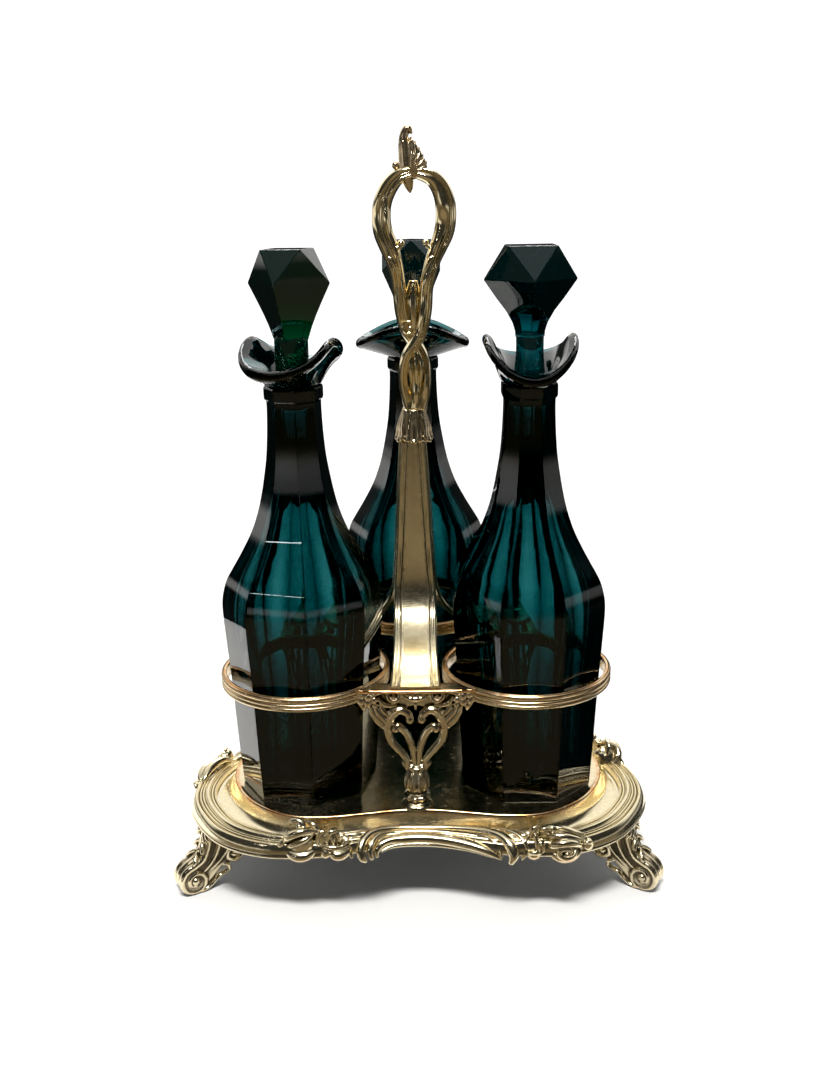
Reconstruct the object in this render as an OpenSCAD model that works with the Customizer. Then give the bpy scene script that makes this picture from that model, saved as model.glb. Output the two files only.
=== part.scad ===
// Three-bottle tantalus: a silver-plated stand with a pierced bracket under each
// arm, three reeded rings, a twisted vine handle, and three octagonal glass
// decanters with square-cut stoppers. Millimetres, +Z up, front is -Y.
// The origin is on the table, on the axis of the central column.

/* [Layout] */
// Distance from the column axis to each decanter axis
decanter_pitch = 73.7; // [72:0.1:75]
// Height of the raised floor that the decanters stand on
floor_z = 52; // [48:1:56]
// Distance from the column axis to each bracket
bracket_r = 72; // [71:0.5:73]

/* [Base] */
// Thickness of the stamped tray
tray_t = 1.4; // [1:0.1:2]
// Height of the raised floor above the trough
cove_h = 9.7; // [8:0.1:10]
// Diameter of each foot scroll
foot_scroll_d = 16; // [14:0.5:17]
// Width of each foot across
foot_w = 13; // [10:0.5:15]

/* [Rings and brackets] */
// Outer radius of a ring
ring_r = 48.7; // [48:0.1:49.5]
// Radial thickness of a ring band
ring_t = 3.3; // [3:0.1:3.4]
// Height of a ring band
ring_h = 8.4; // [7:0.2:9]
// Height of the brackets' top face
cap_z = 123.5; // [122:0.5:125]
// Thickness of a bracket casting
bracket_t = 5; // [4:0.5:6]

/* [Column and handle] */
// Height of the column's top end
column_top = 247; // [245:1:249]
// Thickness of the column's plates
arm_t = 1.8; // [1.4:0.1:2]
// Diameter of the handle stud
stud_d = 3.2; // [2.8:0.1:3.4]

/* [Glass] */
// Across corners at a decanter's shoulder
shoulder_d = 91.2; // [88:0.2:92]
// Height of a decanter's neck ring
neck_z = 278; // [274:1:280]
// Radius of the bore in a decanter's neck
bore_r = 9.9; // [9.5:0.1:10.2]
// Height of a stopper's flat top
stopper_top = 358; // [354:1:360]
// Half-diagonal of a stopper at its widest
girdle_r = 25; // [23:0.5:26]

/* [Hidden] */

silver = [0.78, 0.74, 0.64];
dark_silver = [0.55, 0.52, 0.46];
copper = [0.72, 0.45, 0.30];
glass = [0.02, 0.20, 0.22];
green_glass = [0.02, 0.24, 0.18];
steel = [0.5, 0.5, 0.5];

a_left = 210;
a_right = 330;
a_back = 90;
b_front = 270;
b_right = 30;
b_left = 150;

// Outline radii every 10 degrees from the middle of a lobe (0) to the middle
// of a waist (60): the raised floor's edge, the inside and the outside of the border.
floor_edge = [117, 115.5, 110.5, 99.5, 88.5, 81.5, 79];
border_in = [128.5, 127, 119, 107, 94.5, 87, 84];
border_out = [144.5, 143, 135, 121.5, 107.5, 97, 94];

// Smooth reading of such a list at any angle round the base
function pick(T, i) = T[i < 0 ? -i : i > 6 ? 12 - i : i];
function spline(a, b, c, d, t) =
  0.5 * (2 * b + (c - a) * t + (2 * a - 5 * b + 4 * c - d) * t * t + (3 * b - a - 3 * c + d) * t * t * t);
function folded(a) = let (m = (((a - 90) % 120) + 120) % 120) m > 60 ? 120 - m : m;
function outline(T, a) = let (u = folded(a) / 10, i = min(floor(u), 5), t = u - i)
  spline(pick(T, i - 1), pick(T, i), pick(T, i + 1), pick(T, i + 2), t);

// A closed skin over rows of points: each row is a closed loop, and the rows
// either end in flat caps or run round to the first row again.
module skin(rows, loop = false, flip = false) {
  n = len(rows[0]);
  m = len(rows);
  pts = [for (r = rows) each r];
  function turn(f) = flip ? [for (k = [len(f) - 1:-1:0]) f[k]] : f;
  sides = [for (i = [0:m - (loop ? 1 : 2)], j = [0:n - 1])
    let (a = i * n + j, b = i * n + (j + 1) % n, i2 = (i + 1) % m, c = i2 * n + (j + 1) % n, d = i2 * n + j)
    each [turn([a, d, c]), turn([a, c, b])]];
  caps = loop ? [] : [turn([for (j = [0:n - 1]) j]), turn([for (j = [n - 1:-1:0]) (m - 1) * n + j])];
  polyhedron(points = pts, faces = concat(sides, caps), convexity = 10);
}

// A bar swept through stations [x, y, z, half width, half depth] that lie close
// to the plane y = 0. Its width is across the path and its depth is along Y.
function unit(v) = v / norm(v);
function heading(S, i) = let (a = S[max(i - 1, 0)], b = S[min(i + 1, len(S) - 1)]) unit([b[0] - a[0], 0, b[2] - a[2]]);
function fine(S, k) = [for (i = [0:len(S) - 2], s = [0:k - 1]) let (t = s / k)
    [for (c = [0:4]) spline(S[max(i - 1, 0)][c], S[i][c], S[i + 1][c], S[min(i + 2, len(S) - 1)][c], t)]];
module strand(S, k = 2, n = 8, turn = 0) {
  P = concat(fine(S, k), [S[len(S) - 1]]);
  skin([for (i = [0:len(P) - 1]) let (h = heading(P, i), w = [h[2], 0, -h[0]])
      [for (j = [0:n - 1]) let (a = 360 * j / n + turn)
        [P[i][0], P[i][1], P[i][2]] + w * P[i][3] * cos(a) + [0, P[i][4] * sin(a), 0]]], flip = true);
}

// ---------------------------------------------------------------- base

step = 4;
tray_rows = [[-2.6, 0], [-0.8, -0.3], [0, -1.2], [1, -5], [2.4, -8.3], [4, -cove_h]];

module base_tray() color(silver) {
  angles = [0:step:360 - step];
  difference() {
    skin(concat(
        [[for (a = angles) [60 * cos(a), 60 * sin(a), floor_z]]],
        [for (p = tray_rows) [for (a = angles) let (r = outline(floor_edge, a) + p[0]) [r * cos(a), r * sin(a), floor_z + p[1]]]],
        [[for (a = angles) let (r = outline(border_in, a)) [r * cos(a), r * sin(a), floor_z - cove_h]]],
        [[for (a = angles) let (r = outline(border_in, a)) [r * cos(a), r * sin(a), floor_z - cove_h - tray_t]]],
        [for (k = [len(tray_rows) - 1:-1:0]) let (p = tray_rows[k])
          [for (a = angles) let (r = outline(floor_edge, a) + p[0] - (k > 1 ? tray_t : tray_t / 2))
            [r * cos(a), r * sin(a), floor_z + p[1] - tray_t]]],
        [[for (a = angles) [60 * cos(a), 60 * sin(a), floor_z - tray_t]]]), flip = true);
    for (b = [b_front, b_right, b_left]) rotate([0, 0, b]) translate([bracket_r, 0, floor_z - 5]) cylinder(r = 1.7, h = 10, $fn = 24);
  }
}

// Section of the cast border: [fraction of its width, height]
border_rows = [[0, 40.2], [0, 42.8], [0.1, 45.4], [0.32, 46.8], [0.6, 46.4], [0.84, 45], [0.97, 42.8], [1, 40.6], [0.96, 38.4], [0.84, 37.6], [0.5, 38.6]];

module rim_border() color(silver)
  skin([for (p = border_rows) [for (a = [0:step:360 - step])
      let (i = outline(border_in, a), o = outline(border_out, a), r = i + (o - i) * p[0]) [r * cos(a), r * sin(a), p[1]]]],
    loop = true, flip = false);

// A cast ornament of domes: [radius, angle from the waist's middle, height, dome radius]
module mount_of(domes, waist) for (d = domes)
  rotate([0, 0, waist + d[1]]) translate([d[0], 0, d[2]]) sphere(r = d[3], $fn = 32);

module shell_mounts() color(silver) for (w = [b_front, b_right, b_left])
  mount_of([[116.5, -33.5, 44, 8.8], [112, -27.6, 43.5, 5.6], [112, -23.4, 43, 6.2], [107.5, -17.2, 43, 5.2]], w);

module flower_mounts() color(silver) for (w = [b_front, b_right, b_left])
  mount_of([[128, 38.4, 43.8, 8.4], [119, 35.4, 44, 6.4], [118, 30.4, 43.4, 5.8], [136, 41.6, 43, 4.6], [112, 25.8, 43.4, 5.2]], w);

// Side view of a foot: [distance from the column axis, height]
foot_side = [[121, 40.6], [120.5, 33], [121, 24], [123.5, 17], [128, 12.5], [133, 9], [137, 4], [141.5, 1], [146, 0], [152, 0],
  [156, 2.6], [158.6, 7], [158.4, 12], [155.4, 16], [150.5, 18.4], [146.6, 21.5], [144, 27], [142.6, 34], [141, 38.4], [131, 40.6]];

module foot(a) color(silver) rotate([0, 0, a]) {
  difference() {
    union() {
      rotate([90, 0, 0]) translate([0, 0, -foot_w / 2]) linear_extrude(height = foot_w) polygon(foot_side);
      translate([151, foot_w / 2 + 1.2, foot_scroll_d / 2 - 0.3]) rotate([90, 0, 0]) cylinder(d = foot_scroll_d, h = foot_w + 2.4, $fn = 48);
      translate([127, foot_w / 2 + 0.8, 20]) rotate([90, 0, 0]) cylinder(r = 6.2, h = foot_w + 1.6, $fn = 40);
    }
    translate([100, -20, -10]) cube([80, 40, 10]);
  }
}

// ---------------------------------------------------------------- rings and brackets

ring_side = [[0, 0], [2.5, 0], [3.1, 0.5], [ring_t, 1.4], [3.1, 2.3], [2.7, 2.8], [3.1, 3.3], [ring_t, 4.2],
  [3.1, 5.1], [2.7, 5.6], [3.1, 6.1], [ring_t, 7], [3.1, 7.9], [2.5, ring_h], [0, ring_h]];

module ring(a) color(copper) rotate([0, 0, a]) translate([decanter_pitch, 0, cap_z - ring_h])
  rotate_extrude($fn = 96) translate([ring_r - ring_t, 0]) polygon(ring_side);

// A curved bar drawn flat: stations [x, y, half width]
module bar2d(S) {
  h = [for (i = [0:len(S) - 1]) let (a = S[max(i - 1, 0)], b = S[min(i + 1, len(S) - 1)]) unit([b[0] - a[0], b[1] - a[1]])];
  polygon(concat([for (i = [0:len(S) - 1]) [S[i][0] - h[i][1] * S[i][2], S[i][1] + h[i][0] * S[i][2]]],
      [for (i = [len(S) - 1:-1:0]) [S[i][0] + h[i][1] * S[i][2], S[i][1] - h[i][0] * S[i][2]]]));
}

// One side of the pierced casting, seen from outside: x to the right, y up
outer_scroll = [[22, 117.5, 2.4], [20.5, 112, 2.6], [17.5, 107.5, 2.4], [15.6, 102, 2.2], [13.5, 96, 2], [10, 89.5, 1.9], [6.6, 83.5, 1.9], [4.2, 77, 1.9], [3.2, 73, 1.9]];
inner_scroll = [[2.2, 105, 2.3], [5.4, 109.8, 2.1], [10.4, 109.6, 1.8], [12.2, 104.5, 1.6], [9.6, 98.5, 1.5], [5.6, 92.5, 1.4], [3, 87, 1.4], [2, 80, 1.4], [1.8, 74, 1.6]];

module casting_2d() {
  for (m = [0, 1]) mirror([m, 0]) {
    bar2d(outer_scroll);
    bar2d(inner_scroll);
    translate([2.8, 106.6]) circle(r = 3.4, $fn = 24);
    translate([23.2, 113.4]) circle(r = 3.9, $fn = 24);
    translate([19, 108.4]) circle(r = 2.8, $fn = 24);
  }
  polygon([[-26.8, 121], [26.8, 121], [27.1, 116], [20, 112.8], [9, 111.2], [6, 108.6], [-6, 108.6], [-9, 111.2], [-20, 112.8], [-27.1, 116]]);
  translate([0, 115]) circle(r = 6, $fn = 32);
}

// The turned bud and foot under the casting, on the bracket's own axis
bud_side = [[0, 52], [8.1, 52], [8.1, 54.6], [6.8, 55.6], [7.4, 57], [7.2, 59.4], [5.6, 60.6], [6.6, 64], [6.3, 69], [4.8, 73.4], [5.2, 75.6], [8, 77.4], [5, 79.2], [0, 80]];

module bracket(a) color(silver) rotate([0, 0, a]) translate([bracket_r, 0, 0]) difference() {
  union() {
    rotate([90, 0, 90]) translate([0, 0, -bracket_t / 2]) linear_extrude(height = bracket_t) casting_2d();
    translate([0, 0, floor_z - 52]) rotate_extrude($fn = 48) polygon(bud_side);
  }
  translate([0, 0, floor_z - 1]) cylinder(r = 1.6, h = 14, $fn = 24);
}

module bracket_cap(a) color(copper) rotate([0, 0, a]) difference() {
  translate([0, 0, cap_z - 2.5]) linear_extrude(height = 2.5)
    polygon([[66, -29], [70, -33], [74.6, -31], [75.6, -24], [76.4, -12], [76.6, 0], [76.4, 12], [75.6, 24], [74.6, 31], [70, 33], [66, 29], [64.5, 15], [64.5, -15]]);
  for (s = [-60, 60]) rotate([0, 0, s]) translate([decanter_pitch, 0, cap_z - 20]) cylinder(r = ring_r + 0.02, h = 40, $fn = 96);
}

module bracket_screws() color(steel) for (b = [b_front, b_right, b_left]) rotate([0, 0, b]) translate([bracket_r, 0, 0]) {
  translate([0, 0, floor_z - 2.2]) cylinder(r = 1.5, h = 14.2, $fn = 24);
  translate([0, 0, floor_z - 5]) cylinder(r = 3.4, h = 2.8, $fn = 6);
}

module bracket_washers() color(steel) for (b = [b_front, b_right, b_left]) rotate([0, 0, b])
  translate([bracket_r, 0, floor_z - 2.2]) difference() {
    cylinder(r = 3.6, h = 0.8, $fn = 40);
    translate([0, 0, -1]) cylinder(r = 1.7, h = 3, $fn = 24);
  }

// ---------------------------------------------------------------- column

// One face of the column, which flares out into an arm:
// [distance from the axis, height, half width]
arm_path = [[4.3, 247, 7], [4.9, 232, 8], [5.6, 210, 9.2], [6.3, 188, 10.4], [6.8, 172, 11.4], [8, 160, 12.4], [11, 151.5, 12.5],
  [17, 143.5, 12.5], [27, 135.6, 12.6], [40, 129, 12.8], [53, 125.6, 13.3], [66, 124.6, 13.8], [74, 124.5, 14]];

module arm(a) color(silver) rotate([0, 0, a]) {
  n = len(arm_path);
  h = [for (i = [0:n - 1]) let (p = arm_path[max(i - 1, 0)], q = arm_path[min(i + 1, n - 1)]) unit([q[0] - p[0], q[1] - p[1]])];
  skin([for (i = [0:n - 1]) let (r = arm_path[i][0], z = arm_path[i][1], w = min(arm_path[i][2], r * 1.732 - 0.06),
        o = [-h[i][1], h[i][0]], v = min(w, (r - arm_t) * 1.732 - 0.06),
        t = i < 10 ? arm_t : i < 11 ? 1.4 : 0.95)
      [for (p = [[w, 0.06], [w - 2.4, 0], [w - 3.2, 0.4], [0, 0.55], [-w + 3.2, 0.4], [-w + 2.4, 0], [-w, 0.06], [-v, t], [v, t]])
        [r - o[0] * p[1], p[0], z + cap_z - 123.5 - o[1] * p[1]]]], flip = true);
}

module column_plug() color(dark_silver) difference() {
  translate([0, 0, column_top - 21]) rotate([0, 0, 90]) cylinder(r = 4.8, h = 20.8, $fn = 3);
  translate([0, 0, column_top - 30]) cylinder(d = stud_d + 0.2, h = 40, $fn = 24);
}

module handle_stud() color(steel) translate([0, 0, column_top - 19]) cylinder(d = stud_d, h = 31, $fn = 24);

// ---------------------------------------------------------------- handle

calyx_side = [[0, 247.1], [7.6, 247.1], [9.8, 249.4], [10.3, 254], [9.4, 258.6], [7.8, 262.4], [6.8, 266], [0, 266]];

module handle_calyx() color(silver) difference() {
  translate([0.8, 0, column_top - 247]) rotate_extrude($fn = 48) polygon(calyx_side);
  translate([0, 0, column_top - 5]) cylinder(d = stud_d + 0.1, h = 17.2, $fn = 24);
}

vine_a = [[5, 0, 395.6, 3.4, 3.2], [12.5, 0, 392.8, 4.4, 3.6], [17.2, 0, 387.5, 5.2, 3.8], [19.8, 0, 380, 5.6, 4], [20.2, 0, 371.5, 5.7, 4], [19, 0, 364, 5.6, 4],
  [16, 0, 356.5, 5, 4], [13, -0.5, 349.5, 4.4, 4], [10.6, -1, 342, 4, 4], [9, -1.2, 333, 3.8, 4], [8.2, -1.5, 322, 3.8, 4], [6, -2.2, 311, 3.6, 3.6],
  [2, -2.6, 303.6, 3.6, 3.4], [-2.4, -2.4, 297, 3.2, 3.4], [-4.6, -1.5, 289, 2.8, 3.4], [-4.6, 0, 280, 2.7, 3.6], [-3, 0, 272.5, 3, 3.8], [-1, 0, 266.1, 3.4, 4]];
vine_b = [[1, 0, 396, 3.2, 3.2], [-5, 0, 394, 4, 3.5], [-10.5, 0, 388.5, 4.8, 3.7], [-14.2, 0, 381, 5.1, 3.9], [-15.3, 0, 373, 5.2, 4], [-14.6, 0, 365, 5.4, 4],
  [-11.8, 0, 357.5, 5.4, 4], [-9, 0.5, 350, 4.8, 4], [-7.2, 1, 342, 4.2, 4], [-6, 1.2, 332, 4, 4], [-5, 1.5, 321, 3.9, 4], [-2.6, 2.2, 311, 3.6, 3.6],
  [2.4, 2.6, 303, 3.5, 3.4], [7, 2.4, 295.6, 3, 3.2], [8.8, 1.5, 288, 2.4, 3.2], [8.6, 0, 279, 2.4, 3.4], [7, 0, 272, 2.8, 3.6], [5, 0, 266.1, 3.2, 4]];
bud = [[2.1, -0.3, 300.2, 2, 2.6], [2.4, -0.8, 294, 3.6, 4], [2.5, -1, 287.3, 4, 4.4], [2.5, -0.8, 279.4, 3.9, 4.2], [2.4, -0.5, 272.7, 3.8, 4.3], [2, -0.3, 266.8, 4.3, 4.7]];
web = [[1.7, 0.25, 338.3, 2.1, 1.6], [1.5, 0.3, 329.4, 4.3, 2.3], [1.6, 0.4, 317.5, 4.1, 2.5], [2.1, 0.3, 305.2, 3, 2.4]];

module handle_vine() color(silver) {
  strand(vine_a);
  strand(vine_b);
}

module handle_bud() color(silver) {
  strand(bud, turn = 20);
  strand(web, turn = 25);
}

finial = [[0.6, 0, 386.5, 1, 1], [-0.6, 0, 391, 2.6, 2.6], [-1.4, 0, 398, 3.7, 3.6], [-2, 0, 405, 3.5, 3.5], [-2, 0, 411, 3.1, 3.2], [-0.8, 0, 416.4, 2.6, 2.8], [0.6, 0, 420, 1.2, 1.6]];
leaf = [[3.4, 0, 396, 2.6, 3], [5.6, 0, 400.4, 3.4, 3.4], [6.8, 0, 404.6, 2.4, 3], [6, 0, 408.6, 1, 1.6]];

module handle_finial() color(silver) {
  strand(finial);
  strand(leaf, turn = 20);
}

// ---------------------------------------------------------------- glass

// Outside of a decanter: [height, radius to the corners as a share of the shoulder's]
glass_side = [[52, 0.846], [53.2, 0.866], [77, 0.9], [97, 0.921], [119, 0.946], [141, 0.978], [156, 0.998], [164, 1], [170, 0.982], [177.5, 0.932],
  [184, 0.852], [191, 0.758], [198, 0.671], [205, 0.592], [212, 0.531], [219, 0.482], [226, 0.445], [233, 0.414], [246, 0.366], [259, 0.34], [272, 0.327], [278, 0.327]];
// Inside: [height, radius]
hollow_side = [[287, 9.9], [276, 9.5], [268, 8.2], [258, 7.6], [246, 9], [233, 12.6], [219, 16.8], [205, 21.7], [191, 28.8], [180, 35.4], [170, 38.7], [160, 39.3],
  [141, 37.8], [119, 35], [97, 33], [70, 32], [60.5, 30.5], [58.5, 27]];
glass_n = 24;

// Radius of an eight-sided section at an angle from one of its corners
function eight(r, a) = let (m = (a % 45 + 45) % 45) r * cos(22.5) / cos(m - 22.5);

// The lip is a flange bent like a saddle: two spouts low, two wings high
function lip_r(a) = 30.6 + 5.2 * cos(2 * a);
function lip_z(a) = 303 - 7.2 * cos(2 * a);

// turn is the angle of a corner, spout that of a spout
module decanter(at, turn, spout, tint) color(tint) {
  angles = [for (j = [0:glass_n - 1]) turn + 360 * j / glass_n];
  c = decanter_pitch * [cos(at), sin(at)];
  up = neck_z - 278;
  row = function(z, f) [for (a = angles) let (r = f(a)) [c[0] + r * cos(a), c[1] + r * sin(a), z(a)]];
  skin(concat(
      [row(function(a) floor_z, function(a) 20)],
      [for (p = glass_side) row(function(a) p[0] + floor_z - 52, function(a) eight(p[1] * shoulder_d / 2, a - turn))],
      [row(function(a) 279 + up, function(a) eight(16, a - turn)),
        row(function(a) 286.4 + up, function(a) eight(16, a - turn)),
        row(function(a) 288 + up, function(a) eight(15.4, a - turn)),
        row(function(a) 288 + up + (lip_z(a - spout) - 290) * 0.34, function(a) 15.2 + (lip_r(a - spout) - 15.2) * 0.4),
        row(function(a) lip_z(a - spout) - 3.4 + up, function(a) lip_r(a - spout) - 1.6),
        row(function(a) lip_z(a - spout) - 0.6 + up, function(a) lip_r(a - spout)),
        row(function(a) lip_z(a - spout) + 2 + up, function(a) lip_r(a - spout) - 1),
        row(function(a) lip_z(a - spout) + 2.2 + up, function(a) lip_r(a - spout) - 3.4),
        row(function(a) 292 + up + (lip_z(a - spout) - 290) * 0.5, function(a) 12 + (lip_r(a - spout) - 12) * 0.4),
        row(function(a) 292 + up, function(a) 10.4)],
      [for (p = hollow_side) row(function(a) p[0] + (p[0] > 250 ? up : 0), function(a) p[1] - 9.9 * (p[0] > 240 ? 1 : 0) + (p[0] > 240 ? bore_r : 0))]));
}

// Radius of a four-sided section at an angle from its corner, blended to a circle
function four(r, a, k) = let (m = (a % 90 + 90) % 90) r * ((1 - k) * cos(45) / cos(m - 45) + k);

// A stopper: square table, square girdle turned by 45 degrees, hollow-cut
// lower faces that run into a round stem, and a ground plug
module stopper(at, turn, tint) color(tint) translate([decanter_pitch * cos(at), decanter_pitch * sin(at), stopper_top - 358]) {
  n = 16;
  rows = [[274, 8.2, 1, 45], [275, 8.8, 1, 45], [293, 9.3, 1, 45], [310.4, 9.4, 1, 45], [313, 9.8, 0.7, 45], [318, 12, 0.4, 45], [324, 15.6, 0.2, 45], [331, 19.6, 0.08, 45], [340.4, girdle_r, 0, 45]];
  skin(concat([for (p = rows) [for (j = [0:n - 1]) let (a = 360 * j / n, r = four(p[1], a - p[3], p[2])) [r * cos(a + turn), r * sin(a + turn), p[0]]]],
      [[for (j = [0:n - 1]) let (a = 360 * j / n, r = four(18, a, 0)) [r * cos(a + turn), r * sin(a + turn), 358]]],
      [[for (j = [0:n - 1]) let (a = 360 * j / n) [4 * cos(a + turn), 4 * sin(a + turn), 358]]]));
}

base_tray();
rim_border();
shell_mounts();
flower_mounts();
foot(a_left);  // foot_left
foot(a_right);  // foot_right
foot(a_back);  // foot_back
bracket(b_front);  // bracket_front
bracket(b_right);  // bracket_right
bracket(b_left);  // bracket_left
bracket_cap(b_front);  // bracket_cap_front
bracket_cap(b_right);  // bracket_cap_right
bracket_cap(b_left);  // bracket_cap_left
bracket_screws();
bracket_washers();
ring(a_left);  // ring_left
ring(a_right);  // ring_right
ring(a_back);  // ring_back
arm(b_front);  // arm_front
arm(b_right);  // arm_right
arm(b_left);  // arm_left
column_plug();
handle_stud();
handle_calyx();
handle_vine();
handle_bud();
handle_finial();
decanter(a_left, 8, 255, glass);  // decanter_left
decanter(a_right, 22.5, 270, glass);  // decanter_right
decanter(a_back, 0, 0, glass);  // decanter_back
stopper(a_left, -58.7, green_glass);  // stopper_left
stopper(a_right, 45, glass);  // stopper_right
stopper(a_back, 0, glass);  // stopper_back
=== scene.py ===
import math

import bmesh
import bpy
import numpy as np
from mathutils import Matrix, Vector


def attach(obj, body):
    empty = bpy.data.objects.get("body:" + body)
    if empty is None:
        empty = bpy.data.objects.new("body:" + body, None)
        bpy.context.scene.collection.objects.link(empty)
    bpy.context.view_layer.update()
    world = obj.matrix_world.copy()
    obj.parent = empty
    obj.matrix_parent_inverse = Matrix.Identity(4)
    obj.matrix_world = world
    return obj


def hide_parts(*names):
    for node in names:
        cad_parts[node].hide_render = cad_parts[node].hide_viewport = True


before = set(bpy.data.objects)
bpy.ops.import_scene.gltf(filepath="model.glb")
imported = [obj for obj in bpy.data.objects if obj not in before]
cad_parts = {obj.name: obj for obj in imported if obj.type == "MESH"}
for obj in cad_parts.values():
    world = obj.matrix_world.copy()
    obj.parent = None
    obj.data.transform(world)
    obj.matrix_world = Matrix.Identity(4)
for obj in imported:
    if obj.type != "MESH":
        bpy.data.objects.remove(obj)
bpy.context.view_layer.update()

MM = 0.001
rng = np.random.default_rng(7)
V3 = lambda *a: np.array(a, float)


# ------------------------------------------------------------------ small tools

def unit(v):
    v = np.asarray(v, float)
    n = np.linalg.norm(v)
    return v / n if n > 1e-12 else v


def curve(points, per=6, closed=False):
    """Catmull-Rom through rows of any width."""
    P = np.array(points, float)
    n = len(P)
    out = []
    spans = n if closed else n - 1
    for i in range(spans):
        if closed:
            a, b, c, d = P[(i - 1) % n], P[i], P[(i + 1) % n], P[(i + 2) % n]
        else:
            a, b, c, d = P[max(i - 1, 0)], P[i], P[i + 1], P[min(i + 2, n - 1)]
        for k in range(per):
            t = k / per
            out.append(0.5 * (2 * b + (c - a) * t + (2 * a - 5 * b + 4 * c - d) * t * t + (3 * b - a - 3 * c + d) * t ** 3))
    if not closed:
        out.append(P[-1])
    return np.array(out)


def lerp_table(T, x):
    T = np.array(T, float)
    return np.interp(x, T[:, 0], T[:, 1])


def smooth_table(T, per=8):
    """A table [[x, y], ...] made smooth, to be read with np.interp."""
    C = curve(T, per)
    return C[:, 0], C[:, 1]


def sstep(a, b, x):
    t = np.clip((np.asarray(x, float) - a) / (b - a), 0, 1)
    return t * t * (3 - 2 * t)


class Shape:
    """Vertices and faces in millimetres, with named values on each vertex."""

    def __init__(self):
        self.V, self.F, self.A = [], [], {}
        self.n = 0

    def add(self, verts, faces, **values):
        verts = np.asarray(verts, float).reshape(-1, 3)
        self.V.append(verts)
        self.F += [tuple(int(i) + self.n for i in f) for f in faces]
        for k in set(self.A) | set(values):
            if k not in self.A:
                self.A[k] = [np.zeros(self.n)]
            v = values.get(k, 0.0)
            self.A[k].append(np.broadcast_to(np.asarray(v, float), (len(verts),)).copy())
        self.n += len(verts)

    def rows(self, rows, closed_u=False, cap=True, flip=False, **values):
        """Skins rows of equal rings. closed_u joins the last row to the first."""
        R = np.array(rows, float)
        k, n = R.shape[:2]
        F = []
        for i in range(k if closed_u else k - 1):
            a, b = i * n, ((i + 1) % k) * n
            for j in range(n):
                q = (a + j, a + (j + 1) % n, b + (j + 1) % n, b + j)
                F.append(q[::-1] if flip else q)
        verts = R.reshape(-1, 3)
        vals = {key: np.asarray(v, float).reshape(-1) if np.ndim(v) else v for key, v in values.items()}
        if cap and not closed_u:
            c0, c1 = R[0].mean(0), R[-1].mean(0)
            verts = np.vstack([verts, c0, c1])
            i0, i1 = k * n, k * n + 1
            for j in range(n):
                t0, t1 = (i0, (j + 1) % n, j), (i1, (k - 1) * n + j, (k - 1) * n + (j + 1) % n)
                F += [t0[::-1], t1[::-1]] if flip else [t0, t1]
            vals = {key: (np.append(v, [v[:n].mean(), v[-n:].mean()]) if np.ndim(v) else v) for key, v in vals.items()}
        self.add(verts, F, **vals)

    def ball(self, c, r, axes=None, n=16, **values):
        """An ellipsoid of radii r on axes (rows), closed with pole caps."""
        r = np.broadcast_to(np.asarray(r, float), (3,))
        axes = np.eye(3) if axes is None else np.array(axes, float)
        rows = []
        for i in range(1, n // 2):
            p = math.pi * i / (n // 2)
            rows.append([np.array(c) + (axes[0] * r[0] * math.sin(p) * math.cos(q) + axes[1] * r[1] * math.sin(p) * math.sin(q) - axes[2] * r[2] * math.cos(p))
                         for q in (2 * math.pi * j / n for j in range(n))])
        R = np.array(rows)
        k = len(R)
        F = [(i * n + j, i * n + (j + 1) % n, (i + 1) * n + (j + 1) % n, (i + 1) * n + j) for i in range(k - 1) for j in range(n)]
        verts = np.vstack([R.reshape(-1, 3), np.array(c) - axes[2] * r[2], np.array(c) + axes[2] * r[2]])
        for j in range(n):
            F += [(k * n, (j + 1) % n, j), (k * n + 1, (k - 1) * n + j, (k - 1) * n + (j + 1) % n)]
        self.add(verts, F, **values)

    def tube(self, path, n=12, flat=1.0, up=(0, 0, 1), per=5, section=None, ends=True, **values):
        """A bar along path [[x, y, z, half width, (half depth)], ...]. up gives the side that the depth lies on."""
        S = curve(path, per) if per > 1 else np.array(path, float)
        C = S[:, :3]
        a = S[:, 3]
        b = S[:, 4] if S.shape[1] > 4 else a * flat
        T = np.gradient(C, axis=0)
        T /= np.maximum(np.linalg.norm(T, axis=1), 1e-9)[:, None]
        up = np.array(up, float)
        rows = []
        N = None
        for i in range(len(C)):
            d = up - T[i] * (up @ T[i])
            if np.linalg.norm(d) < 0.15:
                d = N if N is not None else V3(1, 0, 0)
                d = d - T[i] * (d @ T[i])
            d = unit(d)
            N = d
            s = np.cross(T[i], d)
            rows.append((C[i], s, d, T[i]))
        q = [2 * math.pi * j / n for j in range(n)]
        sec = section or (lambda k, w, h, t: [(w * math.cos(x), h * math.sin(x)) for x in q])
        if ends:  # rounded ends
            lead = []
            for f in (0.98, 0.86, 0.62, 0.3):
                lead.append((0, math.sqrt(1 - f * f), -f))
            out = []
            e0 = min(a[0], b[0])
            e1 = min(a[-1], b[-1])
            L = len(C)
            for _, sc, off in lead:
                c, s, d, t = rows[0]
                out.append([c + t * off * e0 + s * x + d * y for x, y in sec(0, a[0] * sc, b[0] * sc, 0.0)])
            for i in range(L):
                c, s, d, t = rows[i]
                out.append([c + s * x + d * y for x, y in sec(i, a[i], b[i], i / (L - 1))])
            for _, sc, off in lead[::-1]:
                c, s, d, t = rows[-1]
                out.append([c - t * off * e1 + s * x + d * y for x, y in sec(L - 1, a[-1] * sc, b[-1] * sc, 1.0)])
            self.rows(out, **values)
        else:
            L = len(C)
            self.rows([[rows[i][0] + rows[i][1] * x + rows[i][2] * y for x, y in sec(i, a[i], b[i], i / (L - 1))] for i in range(L)], **values)

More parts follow.
